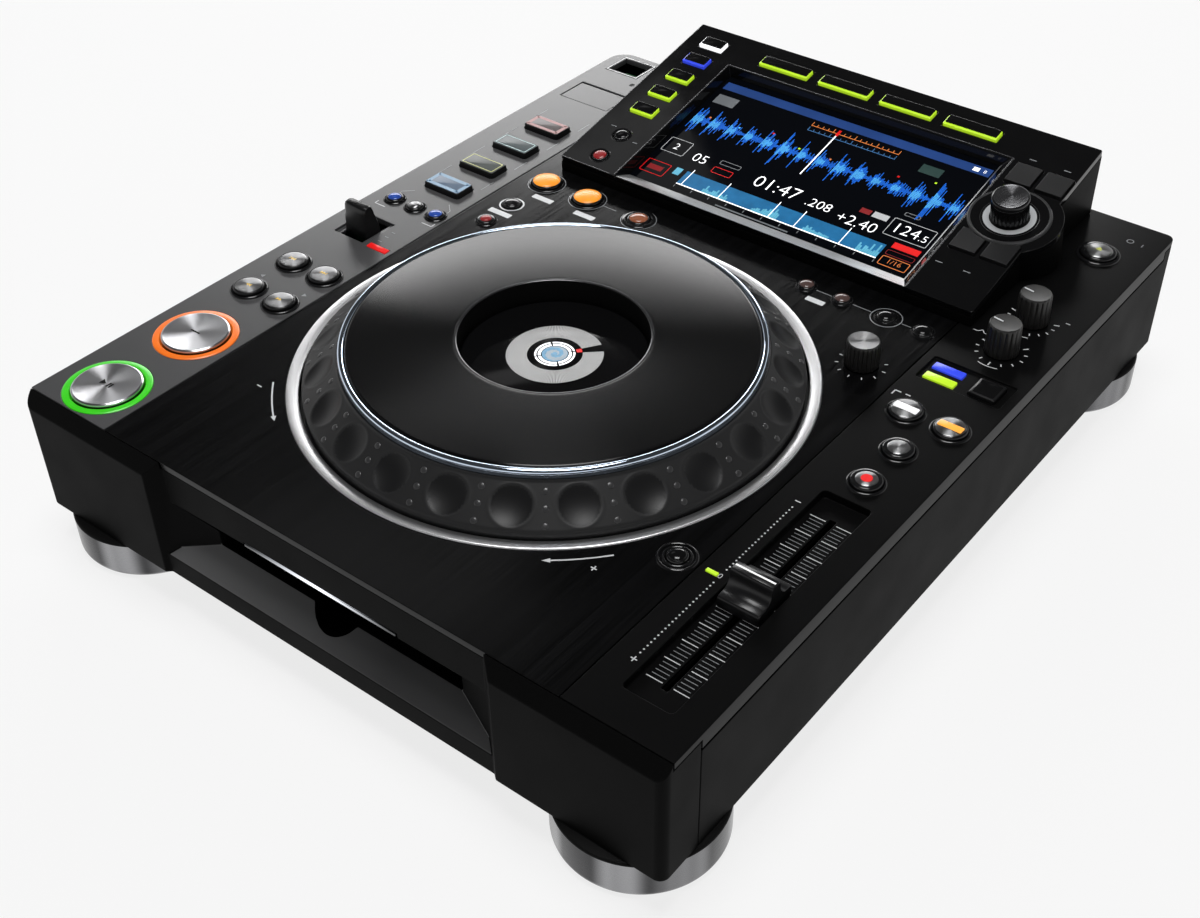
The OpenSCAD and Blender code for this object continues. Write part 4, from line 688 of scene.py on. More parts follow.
wheel = Piece("jog_grip_ring")
foot_rows = [(33.1, 62), (37, 62), (37, 72.2), (100.3, 72.2), (100.3, 63.2), (103.2, 63.2), (103.2, 70.2),
             (102.9, 70.8), (101.8, 71.1), (101.8, 76.9), (101.6, 77.4)]
grip_rows = [GRIP_LOW + (GRIP_TOP - GRIP_LOW) * i / GRIP_ROWS for i in range(GRIP_ROWS + 1)]
top_rows = [(86.7, 89.4), (80, 89.4), (80, 87), (84.6, 86.9), (99.2, 75.4), (33.1, 75.2)]
rows = [level(circle(r, GRIP_TURN), z) for r, z in foot_rows]
for s in grip_rows:
    r, z = on_grip(s)
    row = []
    for k in range(GRIP_TURN):
        a = 2 * pi * k / GRIP_TURN
        dip = dip_at(from_dimple(k, r, s)) / slope_run
        reach = r - GRIP_RISE * dip
        row.append((reach * cos(a), reach * sin(a), z - GRIP_RUN * dip))
    rows.append(row)
rows += [level(circle(r, GRIP_TURN), z) for r, z in top_rows]
rings = [wheel.row(row, spot(0, JOG_Y)) for row in rows]
for i, (a, b) in enumerate(zip(rings, rings[1:] + rings[:1])):
    step = i - len(foot_rows)
    s = GRIP_LOW + (GRIP_TOP - GRIP_LOW) * (step + 0.5) / GRIP_ROWS
    for k in range(GRIP_TURN):
        j = (k + 1) % GRIP_TURN
        inside = 0 <= step < GRIP_ROWS and from_dimple(k + 0.5, on_grip(s)[0], s) < 7.5
        wheel.face([a[k], a[j], b[j], b[k]], grip_dimple if inside else grip_rubber)
wheel.done("jog", ("jog_wheel",), sharp=40)

nubs = Piece("jog_grip_nubs")
nub_grey = moulded("nub_grey", (0.034, 0.034, 0.035), 0.3, 0.5, grain=0.4, height=0.01)
lean = Matrix.Rotation(atan2(GRIP_RISE, GRIP_RUN), 4, "Y")
for k in range(DIMPLES):
    for s in (0.2, 0.5, 0.8):
        r, z = on_grip(s)
        at = spot(0, JOG_Y) @ Matrix.Rotation(radians(15 * k + 7.5), 4, "Z") @ spot(r, 0, z) @ lean
        nubs.lathe([(1.4, -0.1), (1.3, 0.12), (0.95, 0.26), (0.5, 0.32), (0, 0.34)], nub_grey, at, 20)
nubs.done("jog", sharp=70)

platter = Piece("jog_platter_top")
at = spot(0, JOG_Y)
platter.lathe([(39.5, 92.2), (39.75, 92.8), (40.3, 93.0), (41.2, 93.0), (82.2, 93.0), (82.9, 92.85),
               (83.3, 92.4), (83.3, 90.2)], platter_black, at, 192)
platter.lathe([(83.3, 90.2), (41.5, 90.2), (41.5, 75.4), (39.5, 75.4), (39.5, 92.2)], inner_black, at, 192)
rim = [(84.8 + 1.5 * cos(radians(a)), 91.4 + 1.6 * sin(radians(a))) for a in range(170, -20, -12)]
platter.lathe([(83.3, 90), *rim, (86.25, 89.5), (83.3, 89.5)], blue_chrome, at, 256, close=True)
platter.lathe([(39.0, 92.5), (38.9, 92.75), (39.1, 93.0), (39.7, 93.06), (40.2, 93.02), (39.6, 92.3)],
              polished("rim_grey", (0.07, 0.07, 0.073), 0.18, Metallic=0.8), at, 192, close=True)
platter.done("jog", ("jog_platter",), sharp=50)

face = Piece("jog_display_face")
FACE = 83.01
TICKS = 174
face.lathe([(0, 83), (37.8, 83), (38.4, 82.7), (38.4, 81.5), (27.9, 81.5), (27.9, 60.1), (31, 60.1),
            (31, 58.8)], gloss_black, at, 128)
tick_white = lit("tick_white", (0.5, 0.5, 0.5), 0.28)
for k in range(TICKS):
    a = 56 + (360 - 14) * (k + 0.5) / TICKS
    face.arc(11.3, 19.8, a - 0.68, a + 0.68, FACE, tick_white, at)
for inner, outer in ((7.5, 8.3), (5.7, 6.9)):
    for k in range(4):
        face.arc(inner, outer, 90 * k + 52, 90 * k + 136, FACE, white_lit, at)
face.lathe([(5.3, FACE), (5.3, 83.06), (0, 83.06)], lit("jog_blue", (0.16, 0.34, 0.5), 0.35, 0.35, size=2),
           at, 64)
for k in range(10):
    face.arc(1.2 + 0.4 * k, 1.45 + 0.4 * k, 37 * k, 37 * k + 200, 83.08, print_white, at, 0.02)
face.arc(8.9, 11.2, 43, 56, 83.02, red_lit, at)
face.done("case", ("jog_display",))

# ---- round keys
def bezel(piece, x, y, r0, r1, h=0.7):
    """A fixed ring round a key."""
    piece.lathe([(r0, DECK), (r0, DECK + h * 0.7), (r0 + 0.25, DECK + h), (r1 - 0.7, DECK + h),
                 (r1 - 0.2, DECK + h * 0.6), (r1, DECK)], bezel_black, spot(x, y), 64, close=True)


def carrier(piece, w, d, x, y, r=0.5):
    """The bar under the deck that holds a key or joins a row of keys."""
    piece.slab(box(w, d, r, x, y), FLANGE, FLANGE_TOP, key_black)


def dome(piece, x, y, r, h, cap, crown, inner, rim=bezel_black):
    """A key on its stem, with a crowned cap of radius inner in a dark rim; gives its top's height."""
    z = DECK + h
    piece.lathe([(0, STEM), (2, STEM), (2, FLANGE), (r + 1.2, FLANGE), (r + 1.2, FLANGE_TOP),
                 (r, FLANGE_TOP), (r, z - 0.8)], key_black, spot(x, y), 48)
    piece.lathe([(r, z - 0.8), (r - 0.12, z - 0.45), (r - 0.4, z - 0.15), (r - 0.8, z), (inner + 0.15, z),
                 (inner, z - 0.15)], rim, spot(x, y), 64)
    piece.lathe(crowned(inner, z - 0.15, crown), cap, spot(x, y), 64)
    return z - 0.15 + crown


trim = Piece("key_bezels")

# Play and cue, with signs of SIGN_DEPTH on their spun faces
SIGN, SIGN_DEPTH = 76.56, 0.08
for node, y in (("play_button", PLAY_Y), ("cue_button", CUE_Y)):
    key = Piece(node + "_disc")
    at = spot(PLAY_X, y)
    key.lathe([(0, STEM), (2, STEM), (2, 68.2), (16.3, 68.2), (16.3, 69.4), (14.3, 69.4), (14.3, 75.6)],
              key_black, at, 96)
    key.lathe([(14.3, 75.6), (14.25, 76.2), (13.9, 76.55), (13.4, 76.65)], spun, at, 128)
    key.lathe([(13.4, 76.65), (13.1, 76.55), (0, 76.55)], spun, at, 128)
    if node == "play_button":
        key.flat([(-3.1, -1.5), (-0.4, 0), (-3.1, 1.5)], SIGN, inner_black, at, SIGN_DEPTH)
        for x in (1.2, 2.5):
            key.flat(box(0.75, 2.8, 0, x), SIGN, inner_black, at, SIGN_DEPTH)
    else:
        key.flat(box(5, 0.7), SIGN, inner_black, at, SIGN_DEPTH)
    key.stand_for(node, "spun_metal")

# Search and track keys, with double arrows; side is -1 for back and 1 for forward
for node, side, y in (("search_back_button", -1, SEARCH_Y), ("search_forward_button", 1, SEARCH_Y),
                      ("track_back_button", -1, TRACK_Y), ("track_forward_button", 1, TRACK_Y)):
    x = KEYS_X + side * 9.7
    key = Piece(node + "_cap")
    top = dome(key, x, y, 6.9, 2.4, spun_dark, 0.25, 5.9, key_black) - 0.06
    for shift in (-0.9, 0.5):
        a = x + side * shift
        arrow = [(a - 0.7 * side, y - 0.9), (a + 0.7 * side, y), (a - 0.7 * side, y + 0.9)]
        key.flat(arrow[::side], top, yellow_mark, thick=SIGN_DEPTH)
    if y == TRACK_Y:
        key.flat(box(0.35, 1.8, 0, x + side * 1.6, y), top, yellow_mark, thick=SIGN_DEPTH)
    key.stand_for(node, "spun_metal")
    bezel(trim, x, y, 7.3, 8.5, 0.9)

keys = Piece("bank_key_domes")
blue_dome = lit("blue_dome", (0.02, 0.06, 0.3), 0.3, 0.6, rough=0.1, size=3)
for shift, mat in ((-13, blue_dome), (0, spun_dark), (13, blue_dome)):
    dome(keys, KEYS_X + shift, BANK_Y, 4.3, 1.6, mat, 0.9, 3.1)
    bezel(trim, KEYS_X + shift, BANK_Y, 4.7, 5.6, 0.6)
carrier(keys, 32, 6, KEYS_X, BANK_Y)
keys.stand_for("bank_keys", "key_black")

# Colours of each pad's cap and outline, and the outline's width, from the front
pad_looks = (((0.1, 0.15, 0.22), (0.13, 0.24, 0.36), 2.0), ((0.05, 0.06, 0.055), (0.45, 0.46, 0.12), 0.45),
             ((0.05, 0.07, 0.075), (0.3, 0.44, 0.44), 0.45), ((0.09, 0.07, 0.07), (0.24, 0.07, 0.065), 2.0))
for i, (inside, outline, wide) in enumerate(pad_looks):
    node = "pad_%d" % (i + 1)
    at = spot(KEYS_X, PADS_Y + PAD_STEP * i)
    body = moulded(node + "_cap", inside, 0.35, 0.4, grain=0.5, height=0.01)
    edge = lit(node + "_outline", outline, 0.25)
    key = Piece(node + "_cap")
    key.lathe([(0, STEM), (2, STEM), (2, 71)], key_black, at, 24)
    key.slab(box(24.1, 7.8), FLANGE, FLANGE_TOP, key_black, at)
    key.slab(box(21.7, 11.8, 1.6), FLANGE_TOP, 76.6, key_black, at)
    key.slab(box(21.5, 11.6, 1.5), 76.6, 77.6, body, at, edge=0.45, steps=3, side=key_black)
    inset = 0 if wide > 1 else 1.2
    outer = box(20.2 - inset, 10.2 - inset, 0.8)
    key.band(level(outer, 77.63), level(shrink(outer, wide), 77.63), edge, at)
    key.stand_for(node, "pad_cap")

for node, x in (("loop_in_button", LEFT_SEAM + 15), ("loop_out_button", LEFT_SEAM + 40)):
    key = Piece(node + "_dome")
    dome(key, x, ROW_Y, 7.2, 2.0, amber_lit, 1.3, 6.6)
    key.stand_for(node, "key_orange")
    bezel(trim, x, ROW_Y, 7.6, 8.9, 0.7)
    trim.disc_ring(8.9, 9.25, DECK, print_dim, spot(x, ROW_Y))

# The reloop dome's dim orange glow is a painted reflection
key = Piece("reloop_dome")
dome(key, RELOOP_X, ROW_Y, 5.6, 1.2, lit("reloop_painted_reflection", (0.3, 0.1, 0.05), 0.12, 0.6, 0.15, 3), 1.2, 4.3)
key.stand_for("reloop_button", "key_black")
bezel(trim, RELOOP_X, ROW_Y, 6.0, 8.2, 0.8)
trim.disc_ring(8.2, 8.5, DECK, print_dim, spot(RELOOP_X, ROW_Y))

keys = Piece("slice_key_domes")
dome(keys, SLICE_X, ROW_Y - 25, 4.4, 1.4, bezel_black, 0.9, 3.6)
dome(keys, SLICE_X, ROW_Y - 43.3, 4.4, 1.4, red_dim, 0.9, 2.6)
carrier(keys, 6, 26, SLICE_X, ROW_Y - 34.15)
keys.stand_for("slice_keys", "key_black")
trim.disc_ring(5.2, 6.0, DECK, print_white, spot(SLICE_X, ROW_Y - 25), 0.1)
bezel(trim, SLICE_X, ROW_Y - 43.3, 4.8, 5.6, 0.5)

keys = Piece("call_key_domes")
warm = polished("warm_dome", (0.09, 0.055, 0.05), 0.12)
for x in (CALL_X - 9, CALL_X + 9):
    dome(keys, x, ROW_Y, 4.0, 1.4, warm, 1.1, 3.3)
    bezel(trim, x, ROW_Y, 4.4, 5.0, 0.5)
carrier(keys, 24, 6, CALL_X, ROW_Y)
keys.stand_for("call_keys", "key_black")

for node, x, y, r, ring_r in (("delete_button", DELETE_X, ROW_Y, 4.3, 5.4),
                              ("memory_button", RIGHT_SEAM - 8.2, ROW_Y, 4.4, 5.3),
                              ("tempo_reset_button", RESET_X, RESET_Y, 4.2, 5.9)):
    key = Piece(node.replace("button", "dome"))
    dome(key, x, y, r, 1.4, gloss_black, 1.1, r - 0.7)
    key.stand_for(node, "key_black")
    bezel(trim, x, y, r + 0.4, ring_r, 0.6)
trim.disc_ring(6.7, 7.1, DECK, print_dim, spot(DELETE_X, ROW_Y))
bezel(trim, RESET_X, RESET_Y, 6.6, 7.8, 0.5)

eject = Piece("eject_dome")
top = dome(eject, EJECT_X, EJECT_Y, 8, 2.2, spun_dark, 0.7, 6.2) - 0.08
at = spot(EJECT_X, EJECT_Y)
# The eject sign is printed; its glow is painted
lime_mark = lit("lime_mark", (0.5, 0.55, 0.06), 0.3)
eject.flat([(-1.3, 0.1), (1.3, 0.1), (0, 1.6)], top, lime_mark, at, 0.14)
eject.flat(box(2.6, 0.5, 0, 0, -0.6), top, lime_mark, at, 0.14)
eject.stand_for("eject_button", "spun_metal")
bezel(trim, EJECT_X, EJECT_Y, 8.4, 10.0, 0.9)

orange_tag = lit("orange_tag", (0.9, 0.38, 0.05), 0.5)
white_tag = lit("white_tag", (0.8, 0.8, 0.8), 0.45)
for node, x, y, r, inner, tag in (("sync_button", RIGHT - 32.5, SYNC_Y, 7, 6.0, white_tag),
                                  ("master_button", RIGHT - 12.8, SYNC_Y, 7, 6.0, orange_tag),
                                  ("tempo_range_button", TEMPO_KEY_X, REAR - 211.5, 6.4, 4.4, None),
                                  ("master_tempo_button", TEMPO_KEY_X, REAR - 235, 6.4, 4.4, red_lit)):
    key = Piece(node.replace("button", "cap"))
    top = dome(key, x, y, r, 2.0, spun_dark, 0.35, inner)
    if y == SYNC_Y:
        key.slab(box(10.4, 3.7, 0.5, x, y), top - 0.12, top + 0.12, tag, edge=0.1)
    elif tag:
        key.lathe([(2.3, top - 0.05), (2.2, top + 0.1), (0, top + 0.12)], tag, spot(x, y), 40)
    key.stand_for(node, "key_black")
    bezel(trim, x, y, r + 0.4, r + 1.5, 0.6)
trim.done("case")

mode = Piece("mode_key_cap")
mode.lathe([(0, STEM), (2, STEM), (2, 71)], key_black, spot(MODE_X, MODE_Y), 24)
carrier(mode, 13.9, 7.5, MODE_X, MODE_Y, 0)
mode.slab(box(11.5, 11.5, 0.8, MODE_X, MODE_Y), FLANGE_TOP, 75.6, key_black, edge=0.4)
mode.flat(box(9.3, 9.3, 0.6, MODE_X, MODE_Y), 75.6, gloss_black, thick=0.06)
mode.stand_for("mode_button", "key_black")

# ---- fader, lever, knobs
cap = Piece("tempo_fader_cap")
half = 10.4
profile = [(-half, 71.9), (-half, 75.6), (-half + 0.3, 76.3), (-half + 0.9, 76.75), (-half + 3.4, 76.85)]
profile += [(-7.0 + 4.4 * sin(radians(a)), 82.4 - 5.5 * cos(radians(a))) for a in range(5, 95, 10)]
profile += [(-2.5, 83.2), (-2.2, 83.8), (-1.7, 84.0)]
side = profile + [(-y, z) for y, z in reversed(profile)]
rows = []
for x, inset in ((-8.7, 0.35), (-8.35, 0), (8.35, 0), (8.7, 0.35)):
    share = 1 - inset / half
    rows.append([(FADER_X + x, FADER_Y + y * share, z - (inset if z > 75 else 0)) for y, z in side])
cap.skin(rows, key_black)
# White line along the ridge of the cap, with a painted glow
cap.flat(box(16.4, 0.8, 0, FADER_X, FADER_Y + 0.2), 83.9, white_tag, thick=0.14)
cap.slab(box(1.8, 3.4, 0, FADER_X, FADER_Y), 66, 72.4, steel)
cap.slab(box(8.4, 8, 0.5, FADER_X, FADER_Y), 62.2, 67.8, inner_black)
cap.stand_for("tempo_fader", "key_black", sharp=50)

prints = Piece("right_strip_prints")
# Comb scales on the floor of the fader's recess, on both sides of its slot
for k in range(51):
    mat, width, short = (print_dim, 0.26, 0.9) if k % 5 else (print_white, 0.36, 0)
    for x0, x1 in ((128.5 + short, 135.2), (139.7, 146.1 - short)):
        prints.flat(box(x1 - x0, width, 0, (x0 + x1) / 2, FADER_Y - 50 + 2 * k), DECK - 3.5, mat)
# Dotted scale beside it, with its plus, minus and zero
dot = [(0.38, DECK), (0.36, DECK + 0.05), (0, DECK + 0.05)]
for k in range(47):
    y = -159.5 + 2 * k
    if abs(y - SCALE_ZERO) > 2.4:
        prints.lathe(dot, print_white, spot(SCALE_X, y), 10)
for w, d, y in ((2.4, 0.45, -63.6), (2.6, 0.45, -163), (0.45, 2.6, -163)):
    prints.flat(box(w, d, 0, SCALE_X, y), DECK, print_white)
prints.number("0", 3.6, DECK, print_white, spot(SCALE_X, SCALE_ZERO))
# Scales round the two adjust knobs
for y, start, end in ((REAR_ADJUST_Y, -200, 20), (FRONT_ADJUST_Y, -225, 45)):
    at = spot(ADJUST_X, y)
    for k in range(11):
        a = start + (end - start) * k / 10
        prints.arc(9.4, 10.9 if k % 5 else 11.8, a - 1.4, a + 1.4, DECK, print_white, at)
    prints.arc(12.6, 12.95, -110, -70, DECK, print_white, at)
# Outline in the mode recess, then signs by the knobs and the eject key, and corners over the sync row
prints.line([(118.3, 30.6), (156, 30.6), (156, 48.4)], 0.3, DECK - 0.98, print_dim)
for points, width, mat in (
        ([(121.5, 74.6), (123.5, 74.6), (125, 76.4), (126.5, 74.6), (128, 74.6)], 0.35, print_white),
        ([(150.6, 102), (152.6, 102)], 0.5, print_white),
        ([(151, 178.2), (151, 180.6)], 0.45, print_dim),
        ([(116.9, 14.6), (116.9, 17.6), (119.6, 17.6)], 0.6, print_white),
        ([(121.6, 17.6), (123.8, 17.6)], 0.6, print_white)):
    prints.line(points, width, DECK, mat)
prints.disc_ring(1.3, 1.7, DECK, print_dim, spot(145, 180))
prints.done("case")

lever = Piece("direction_lever_paddle")
profile = [(-3.0, 66.6), (-5.3, 75), (-4.6, 79), (-3.1, 86), (-2.6, 87.8), (-1.9, 88.8), (-0.8, 89)]
side = profile + [(-y, z) for y, z in reversed(profile)]
lean = spot(*LEVER) @ Matrix.Rotation(radians(6), 4, "X")
rows = []
for x, share in ((-6.5, 0.82), (-6.2, 0.95), (-5.7, 1), (5.7, 1), (6.2, 0.95), (6.5, 0.82)):
    taper = 0.008 if share > 0.9 else 0
    sink = (1 - share) * 2
    rows.append([lean @ Vector((x * (1 - taper * (z - 70)), y * share,
                                z - LEVER[2] - (sink if z > 84 else 0))) for y, z in side])
lever.skin(rows, key_black)
pin = [(0, -9.6), (1.5, -9.6), (1.5, -6.5), (3.4, -6.5)]
lever.lathe(pin + [(r, -z) for r, z in reversed(pin)], key_black,
            spot(*LEVER) @ Matrix.Rotation(pi / 2, 4, "Y"), 32)
lever.stand_for("direction_lever", "key_black", sharp=50)


def ribbed(node, x, y, h, ribs, cap_mat, pointer=None, r=7.3):
    """A knob with soft vertical ribs, a slightly dished cap and a pointer line at an angle."""
    piece = Piece(node + "_ribbed")
    at = spot(x, y, DECK)

    def row(z, share, depth):
        points = []
        for i in range(ribs * 6):
            a = 2 * pi * i / (ribs * 6)
            reach = r * share - depth * max(0.0, cos(a * ribs)) ** 2
            points.append(at @ Vector((reach * cos(a), reach * sin(a), z)))
        return points

    rows = [row(0.6, 0.97, 0.25), row(1.0, 1.0, 0.5), row(h * 0.5, 0.98, 0.55), row(h - 0.9, 0.955, 0.55),
            row(h - 0.3, 0.94, 0.3), row(h + 0.2, 0.9, 0.05), row(h + 0.45, 0.86, 0)]
    for a, b in zip(rows, rows[1:]):
        piece.band(a, b, knob_grey)
    piece.lathe([(r * 0.86, h + 0.45), (r * 0.8, h + 0.42), (r * 0.4, h + 0.28), (0, h + 0.26)], cap_mat,
                at, 64)
    piece.lathe([(r * 0.95, 0.6), (3, 0.6), (3, -8), (0, -8)], inner_black, at, 40)
    if pointer is not None:
        piece.slab(box(r * 0.62, 0.7, 0.2, r * 0.5), h + 0.3, h + 0.5, print_white,
                   at @ Matrix.Rotation(radians(pointer), 4, "Z"), under=False)
    bmesh.ops.remove_doubles(piece.bm, verts=piece.bm.verts, dist=0.001)
    piece.stand_for(node, "key_black", sharp=42)


ribbed("rear_adjust_knob", ADJUST_X, REAR_ADJUST_Y, 14, 18, knob_grey, 172)
ribbed("front_adjust_knob", ADJUST_X, FRONT_ADJUST_Y, 14, 18, knob_grey, 172)
ribbed("jog_adjust_knob", *JOG_ADJUST, 11.5, 24, spun_dark)

softened("card_door", 0.25, strip_grey, "card_door")
softened("power_switch", 0.5, key_black, "power_switch")

# ---- prints on the left strip and plate
marks = Piece("deck_prints")
# Guide lines beside the pads and in front of them
for side in (-1, 1):
    x = KEYS_X + side * 13.6
    for i in range(4):
        y = PADS_Y + PAD_STEP * i
        marks.line([(x, y + 7.6), (x, y + 16.9)], 0.35, DECK, print_dim)
    x = KEYS_X + side * 15.4
    marks.line([(x, 8.6), (x, 12.4), (KEYS_X + side * 11, 16.6)], 0.35, DECK, print_dim)
# Brackets of the bank keys, then dashes by the lever and between the keys in the row
for points, width, mat in (([(-152.5, -0.4), (-152.5, -3), (-146, -3)], 0.4, print_white),
                           ([(-122.5, -3), (-116.6, -3), (-116.6, -0.4)], 0.4, print_white),
                           ([(-127.6, -26.4), (-125.4, -26.4)], 0.45, print_dim),
                           ([(-127.6, -22), (-125.4, -22)], 0.45, print_dim),
                           ([(-127.6, -17.6), (-125.4, -17.6)], 0.45, print_dim),
                           ([(CALL_X - 4, ROW_Y), (CALL_X + 4, ROW_Y)], 0.4, print_dim),
                           ([(RIGHT_SEAM - 42.6, ROW_Y), (RIGHT_SEAM - 33.5, ROW_Y)], 0.4, print_dim),
                           ([(RIGHT_SEAM - 18.5, ROW_Y), (RIGHT_SEAM - 14, ROW_Y)], 0.4, print_dim),
                           ([(LEFT_SEAM + 49.5, ROW_Y), (LEFT_SEAM + 57, ROW_Y)], 0.4, print_dim)):
    marks.line(points, width, DECK, mat)
for x, side in ((-121, 1), (-147.6, -1)):
    arrow = [(x - side, -79.4), (x + side, -78.2), (x - side, -77)]
    marks.flat(arrow[::side], DECK, print_dim, thick=0.08)
# Pale plain labels under the loop, slice and call keys
for w, d, r, x, y in ((11.5, 3.4, 0.4, -91.75, ROW_Y - 12.2), (11.5, 3.4, 0.4, -66.75, ROW_Y - 12.2),
                      (12.6, 3.4, 0.4, -99.6, ROW_Y - 34), (9, 3.2, 0.5, CALL_X, ROW_Y - 7.4)):
    marks.flat(box(w, d, r, x, y), DECK, print_white)
# Arrows round the jog wheel, with a minus and a plus
at = spot(0, JOG_Y)
for start, end, tip, way in ((-138.5, -126.5, -126.3, 1), (-51.5, -40, -52.1, -1)):
    marks.arc(113.3, 113.95, start, end, DECK, print_white, at)
    arrow = [(-1.1, -1.4 * way), (1.1, -1.4 * way), (0, 1.7 * way)]
    marks.flat(arrow[::way], DECK, print_white, at @ Matrix.Rotation(radians(tip), 4, "Z") @ spot(113.6, 0),
               0.08)
for a, bars in ((-137.5, [(2.6, 0.5)]), (-44, [(2.6, 0.5), (0.5, 2.6)])):
    sign = at @ spot(119 * cos(radians(a)), 119 * sin(radians(a)))
    for w, d in bars:
        marks.flat(box(w, d), DECK, print_white, sign)
for k in range(9):
    a = radians(-215 + 250 * k / 8)
    ends = [(JOG_ADJUST[0] + r * cos(a), JOG_ADJUST[1] + r * sin(a)) for r in (9.4, 10.9)]
    marks.line(ends, 0.4, DECK, print_white)
marks.flat(box(2.2, 3.0, 0.5, -130.3, 167), DECK, inner_black, thick=0.04)
marks.done("case")

# ---- display
softened("display_housing", 0.4, case_black)
softened("display_panel", 0.25, gloss_black)
panel = Piece("display_trim")
on_panel = tilted()
# Faces of the screen's recess, in front and on the right, pale at the ends with a painted reflection, and a
# thin line round it
left, right_top, right_low = SCREEN_LEFT - 0.6, SCREEN_RIGHT + 0.25, SCREEN_RIGHT - 5.6
panel.band([(SCREEN_LEFT + 0.9, 0.15, 0.02), (right_top, 0.15, 0.02)],
           [(SCREEN_LEFT + 1.2, 9.6, -5.9), (right_low, 9.6, -5.9)], bevel_painted_reflection, on_panel, closed=False)
panel.band([(right_top, 0.15, 0.05), (right_top, 96.3, 0.05)],
           [(right_low, 9.6, -5.85), (right_low, 95.2, -5.85)], bevel_painted_reflection, on_panel, closed=False)
line_grey = brushed("line_grey", (0.3, 0.3, 0.31), (0.05, 1, 1), 0.25, 0.9)
for points, width in (([(left, 1), (left, 96.9)], 0.5), ([(left, 96.9), (SCREEN_RIGHT + 0.4, 96.9)], 0.5),
                      ([(SCREEN_RIGHT + 0.6, 96.9), (SCREEN_RIGHT + 0.6, 1)], 0.5),
                      ([(PANEL_X + 0.3, 119.6), (PANEL_X + 0.3, 0.4), (SCREEN_LEFT - 3, 0.4)], 0.35)):
    panel.line(points, width, 0, line_grey, on_panel)
# Dashes by the side keys, the selector and the browse keys
for x, v, length in ((PANEL_X + 8, 30.5, 3), (PANEL_X + 25.4, 24.4, 2.8), (104, 20.6, 3.4),
                     (90.5, 20.6, 3.4), (94, 99.4, 3.4), (111, 99.4, 3.4)):
    panel.line([(x, v), (x + length, v)], 0.5, 0, print_dim, on_panel)
# Dark dish round the selector
panel.lathe([(12.75, 0.1), (13.4, 0.2), (16.4, 0.55), (17.2, 0.85), (18.0, 0.9), (18.5, 0.5), (18.6, 0)],
            turned("dish", (0.07, 0.07, 0.072), 0.3, 0.5, ring=0.5), tilted(*SELECTOR), 96)
panel.done("case")

screen = Piece("screen_picture")
# The picture lies PICTURE off the panel; figures stand FIGURE off it
PICTURE = -5.95
FIGURE = PICTURE + 0.03
back_glass = polished("back_glass", (0.002, 0.0025, 0.004), 0.06, 0.15)
title_blue = lit("title_blue", (0.012, 0.035, 0.13), 0.9, 0.3, 0.15, 20)
wave_blue = lit("wave_blue", (0.008, 0.1, 0.5), 0.7, 0.3, 0.2, 4)
wave_pale = lit("wave_pale", (0.07, 0.36, 0.75), 0.6, 0.2, 0.2, 3)
over_blue = lit("over_blue", (0.012, 0.11, 0.25), 0.6, 0.4, 0.2, 7)
over_pale = lit("over_pale", (0.1, 0.36, 0.5), 0.5, 0.3, 0.2, 4)
orange_line = lit("orange_line", (0.6, 0.17, 0.04), 0.6)
blue_line = lit("blue_line", (0.04, 0.13, 0.3), 0.5)
grey_lit = lit("grey_lit", (0.12, 0.13, 0.14), 0.4)
width = SCREEN_RIGHT - SCREEN_LEFT - 5.5
screen.slab(box(width, 86.6, 0, SCREEN_LEFT + width / 2, 52.6), PICTURE - 0.12, PICTURE, back_glass,
            on_panel)


def bar(x0, v0, x1, v1, mat, lift=0.02):
    """A filled field of the picture."""
    screen.flat([(x0, v0), (x1, v0), (x1, v1), (x0, v1)], PICTURE, mat, on_panel, lift)


def outlined(x0, v0, x1, v1, mat, width=0.35):
    """The outline of a field with rounded corners."""
    outline = box(x1 - x0, v1 - v0, 0.8, (x0 + x1) / 2, (v0 + v1) / 2, 3)
    inner = shrink(outline, width)
    screen.band(level(outline, PICTURE + 0.02), level(inner, PICTURE + 0.02), mat, on_panel)


DRAW_TOP = 2147483648


def draws(seed):
    """Whole numbers below DRAW_TOP that look random and are the same each run."""
    while True:
        seed = (seed * 1103515245 + 12345) % DRAW_TOP
        yield seed


draw = draws(7)
# Title bar
bar(-67.5, 85.8, 80.5, 91.4, title_blue)
bar(71.5, 87.3, 74.6, 89.9, white_lit, 0.04)
# Waveform, its cursor and the two rows of ticks over it
for k in range(246):
    x = -67 + 0.6 * k
    chance = next(draw) / DRAW_TOP
    beat = max(0.0, 1 - (k % 17) / 11) * (0.55 + 0.45 * sin(k * 0.045 + 1) ** 2)
    h = 0.8 + 9.5 * beat * (0.35 + 0.65 * chance) + 3.4 * chance ** 2
    bar(x, 60 - h * (0.7 + 0.4 * chance), x + 0.45, 60 + h, wave_blue)
    if beat > 0.25:
        bar(x, 60 - h * 0.45, x + 0.42, 60 + h * 0.42, wave_pale, 0.04)
bar(2.6, 48, 3.2, 83.5, white_lit, 0.06)
for v, tall, mat in ((81.4, 1.6, orange_line), (77.6, 1.4, blue_line)):
    for k in range(17):
        bar(-12 + 3 * k, v, -11.65 + 3 * k, v + tall + (k % 4 == 0), mat)
    bar(-12, v - 0.3, 36.4, v + 0.1, mat)
bar(2.2, 79.6, 3.6, 84, red_lit, 0.08)
# Cue marks over the waveform
for k in range(8):
    fall = 4 * (next(draw) % 3)
    bar(-60 + 17.3 * k, 71 - fall, -58.9 + 17.3 * k, 72.1 - fall,
        (orange_line, wave_pale, red_lit, lime_lit)[k % 4])
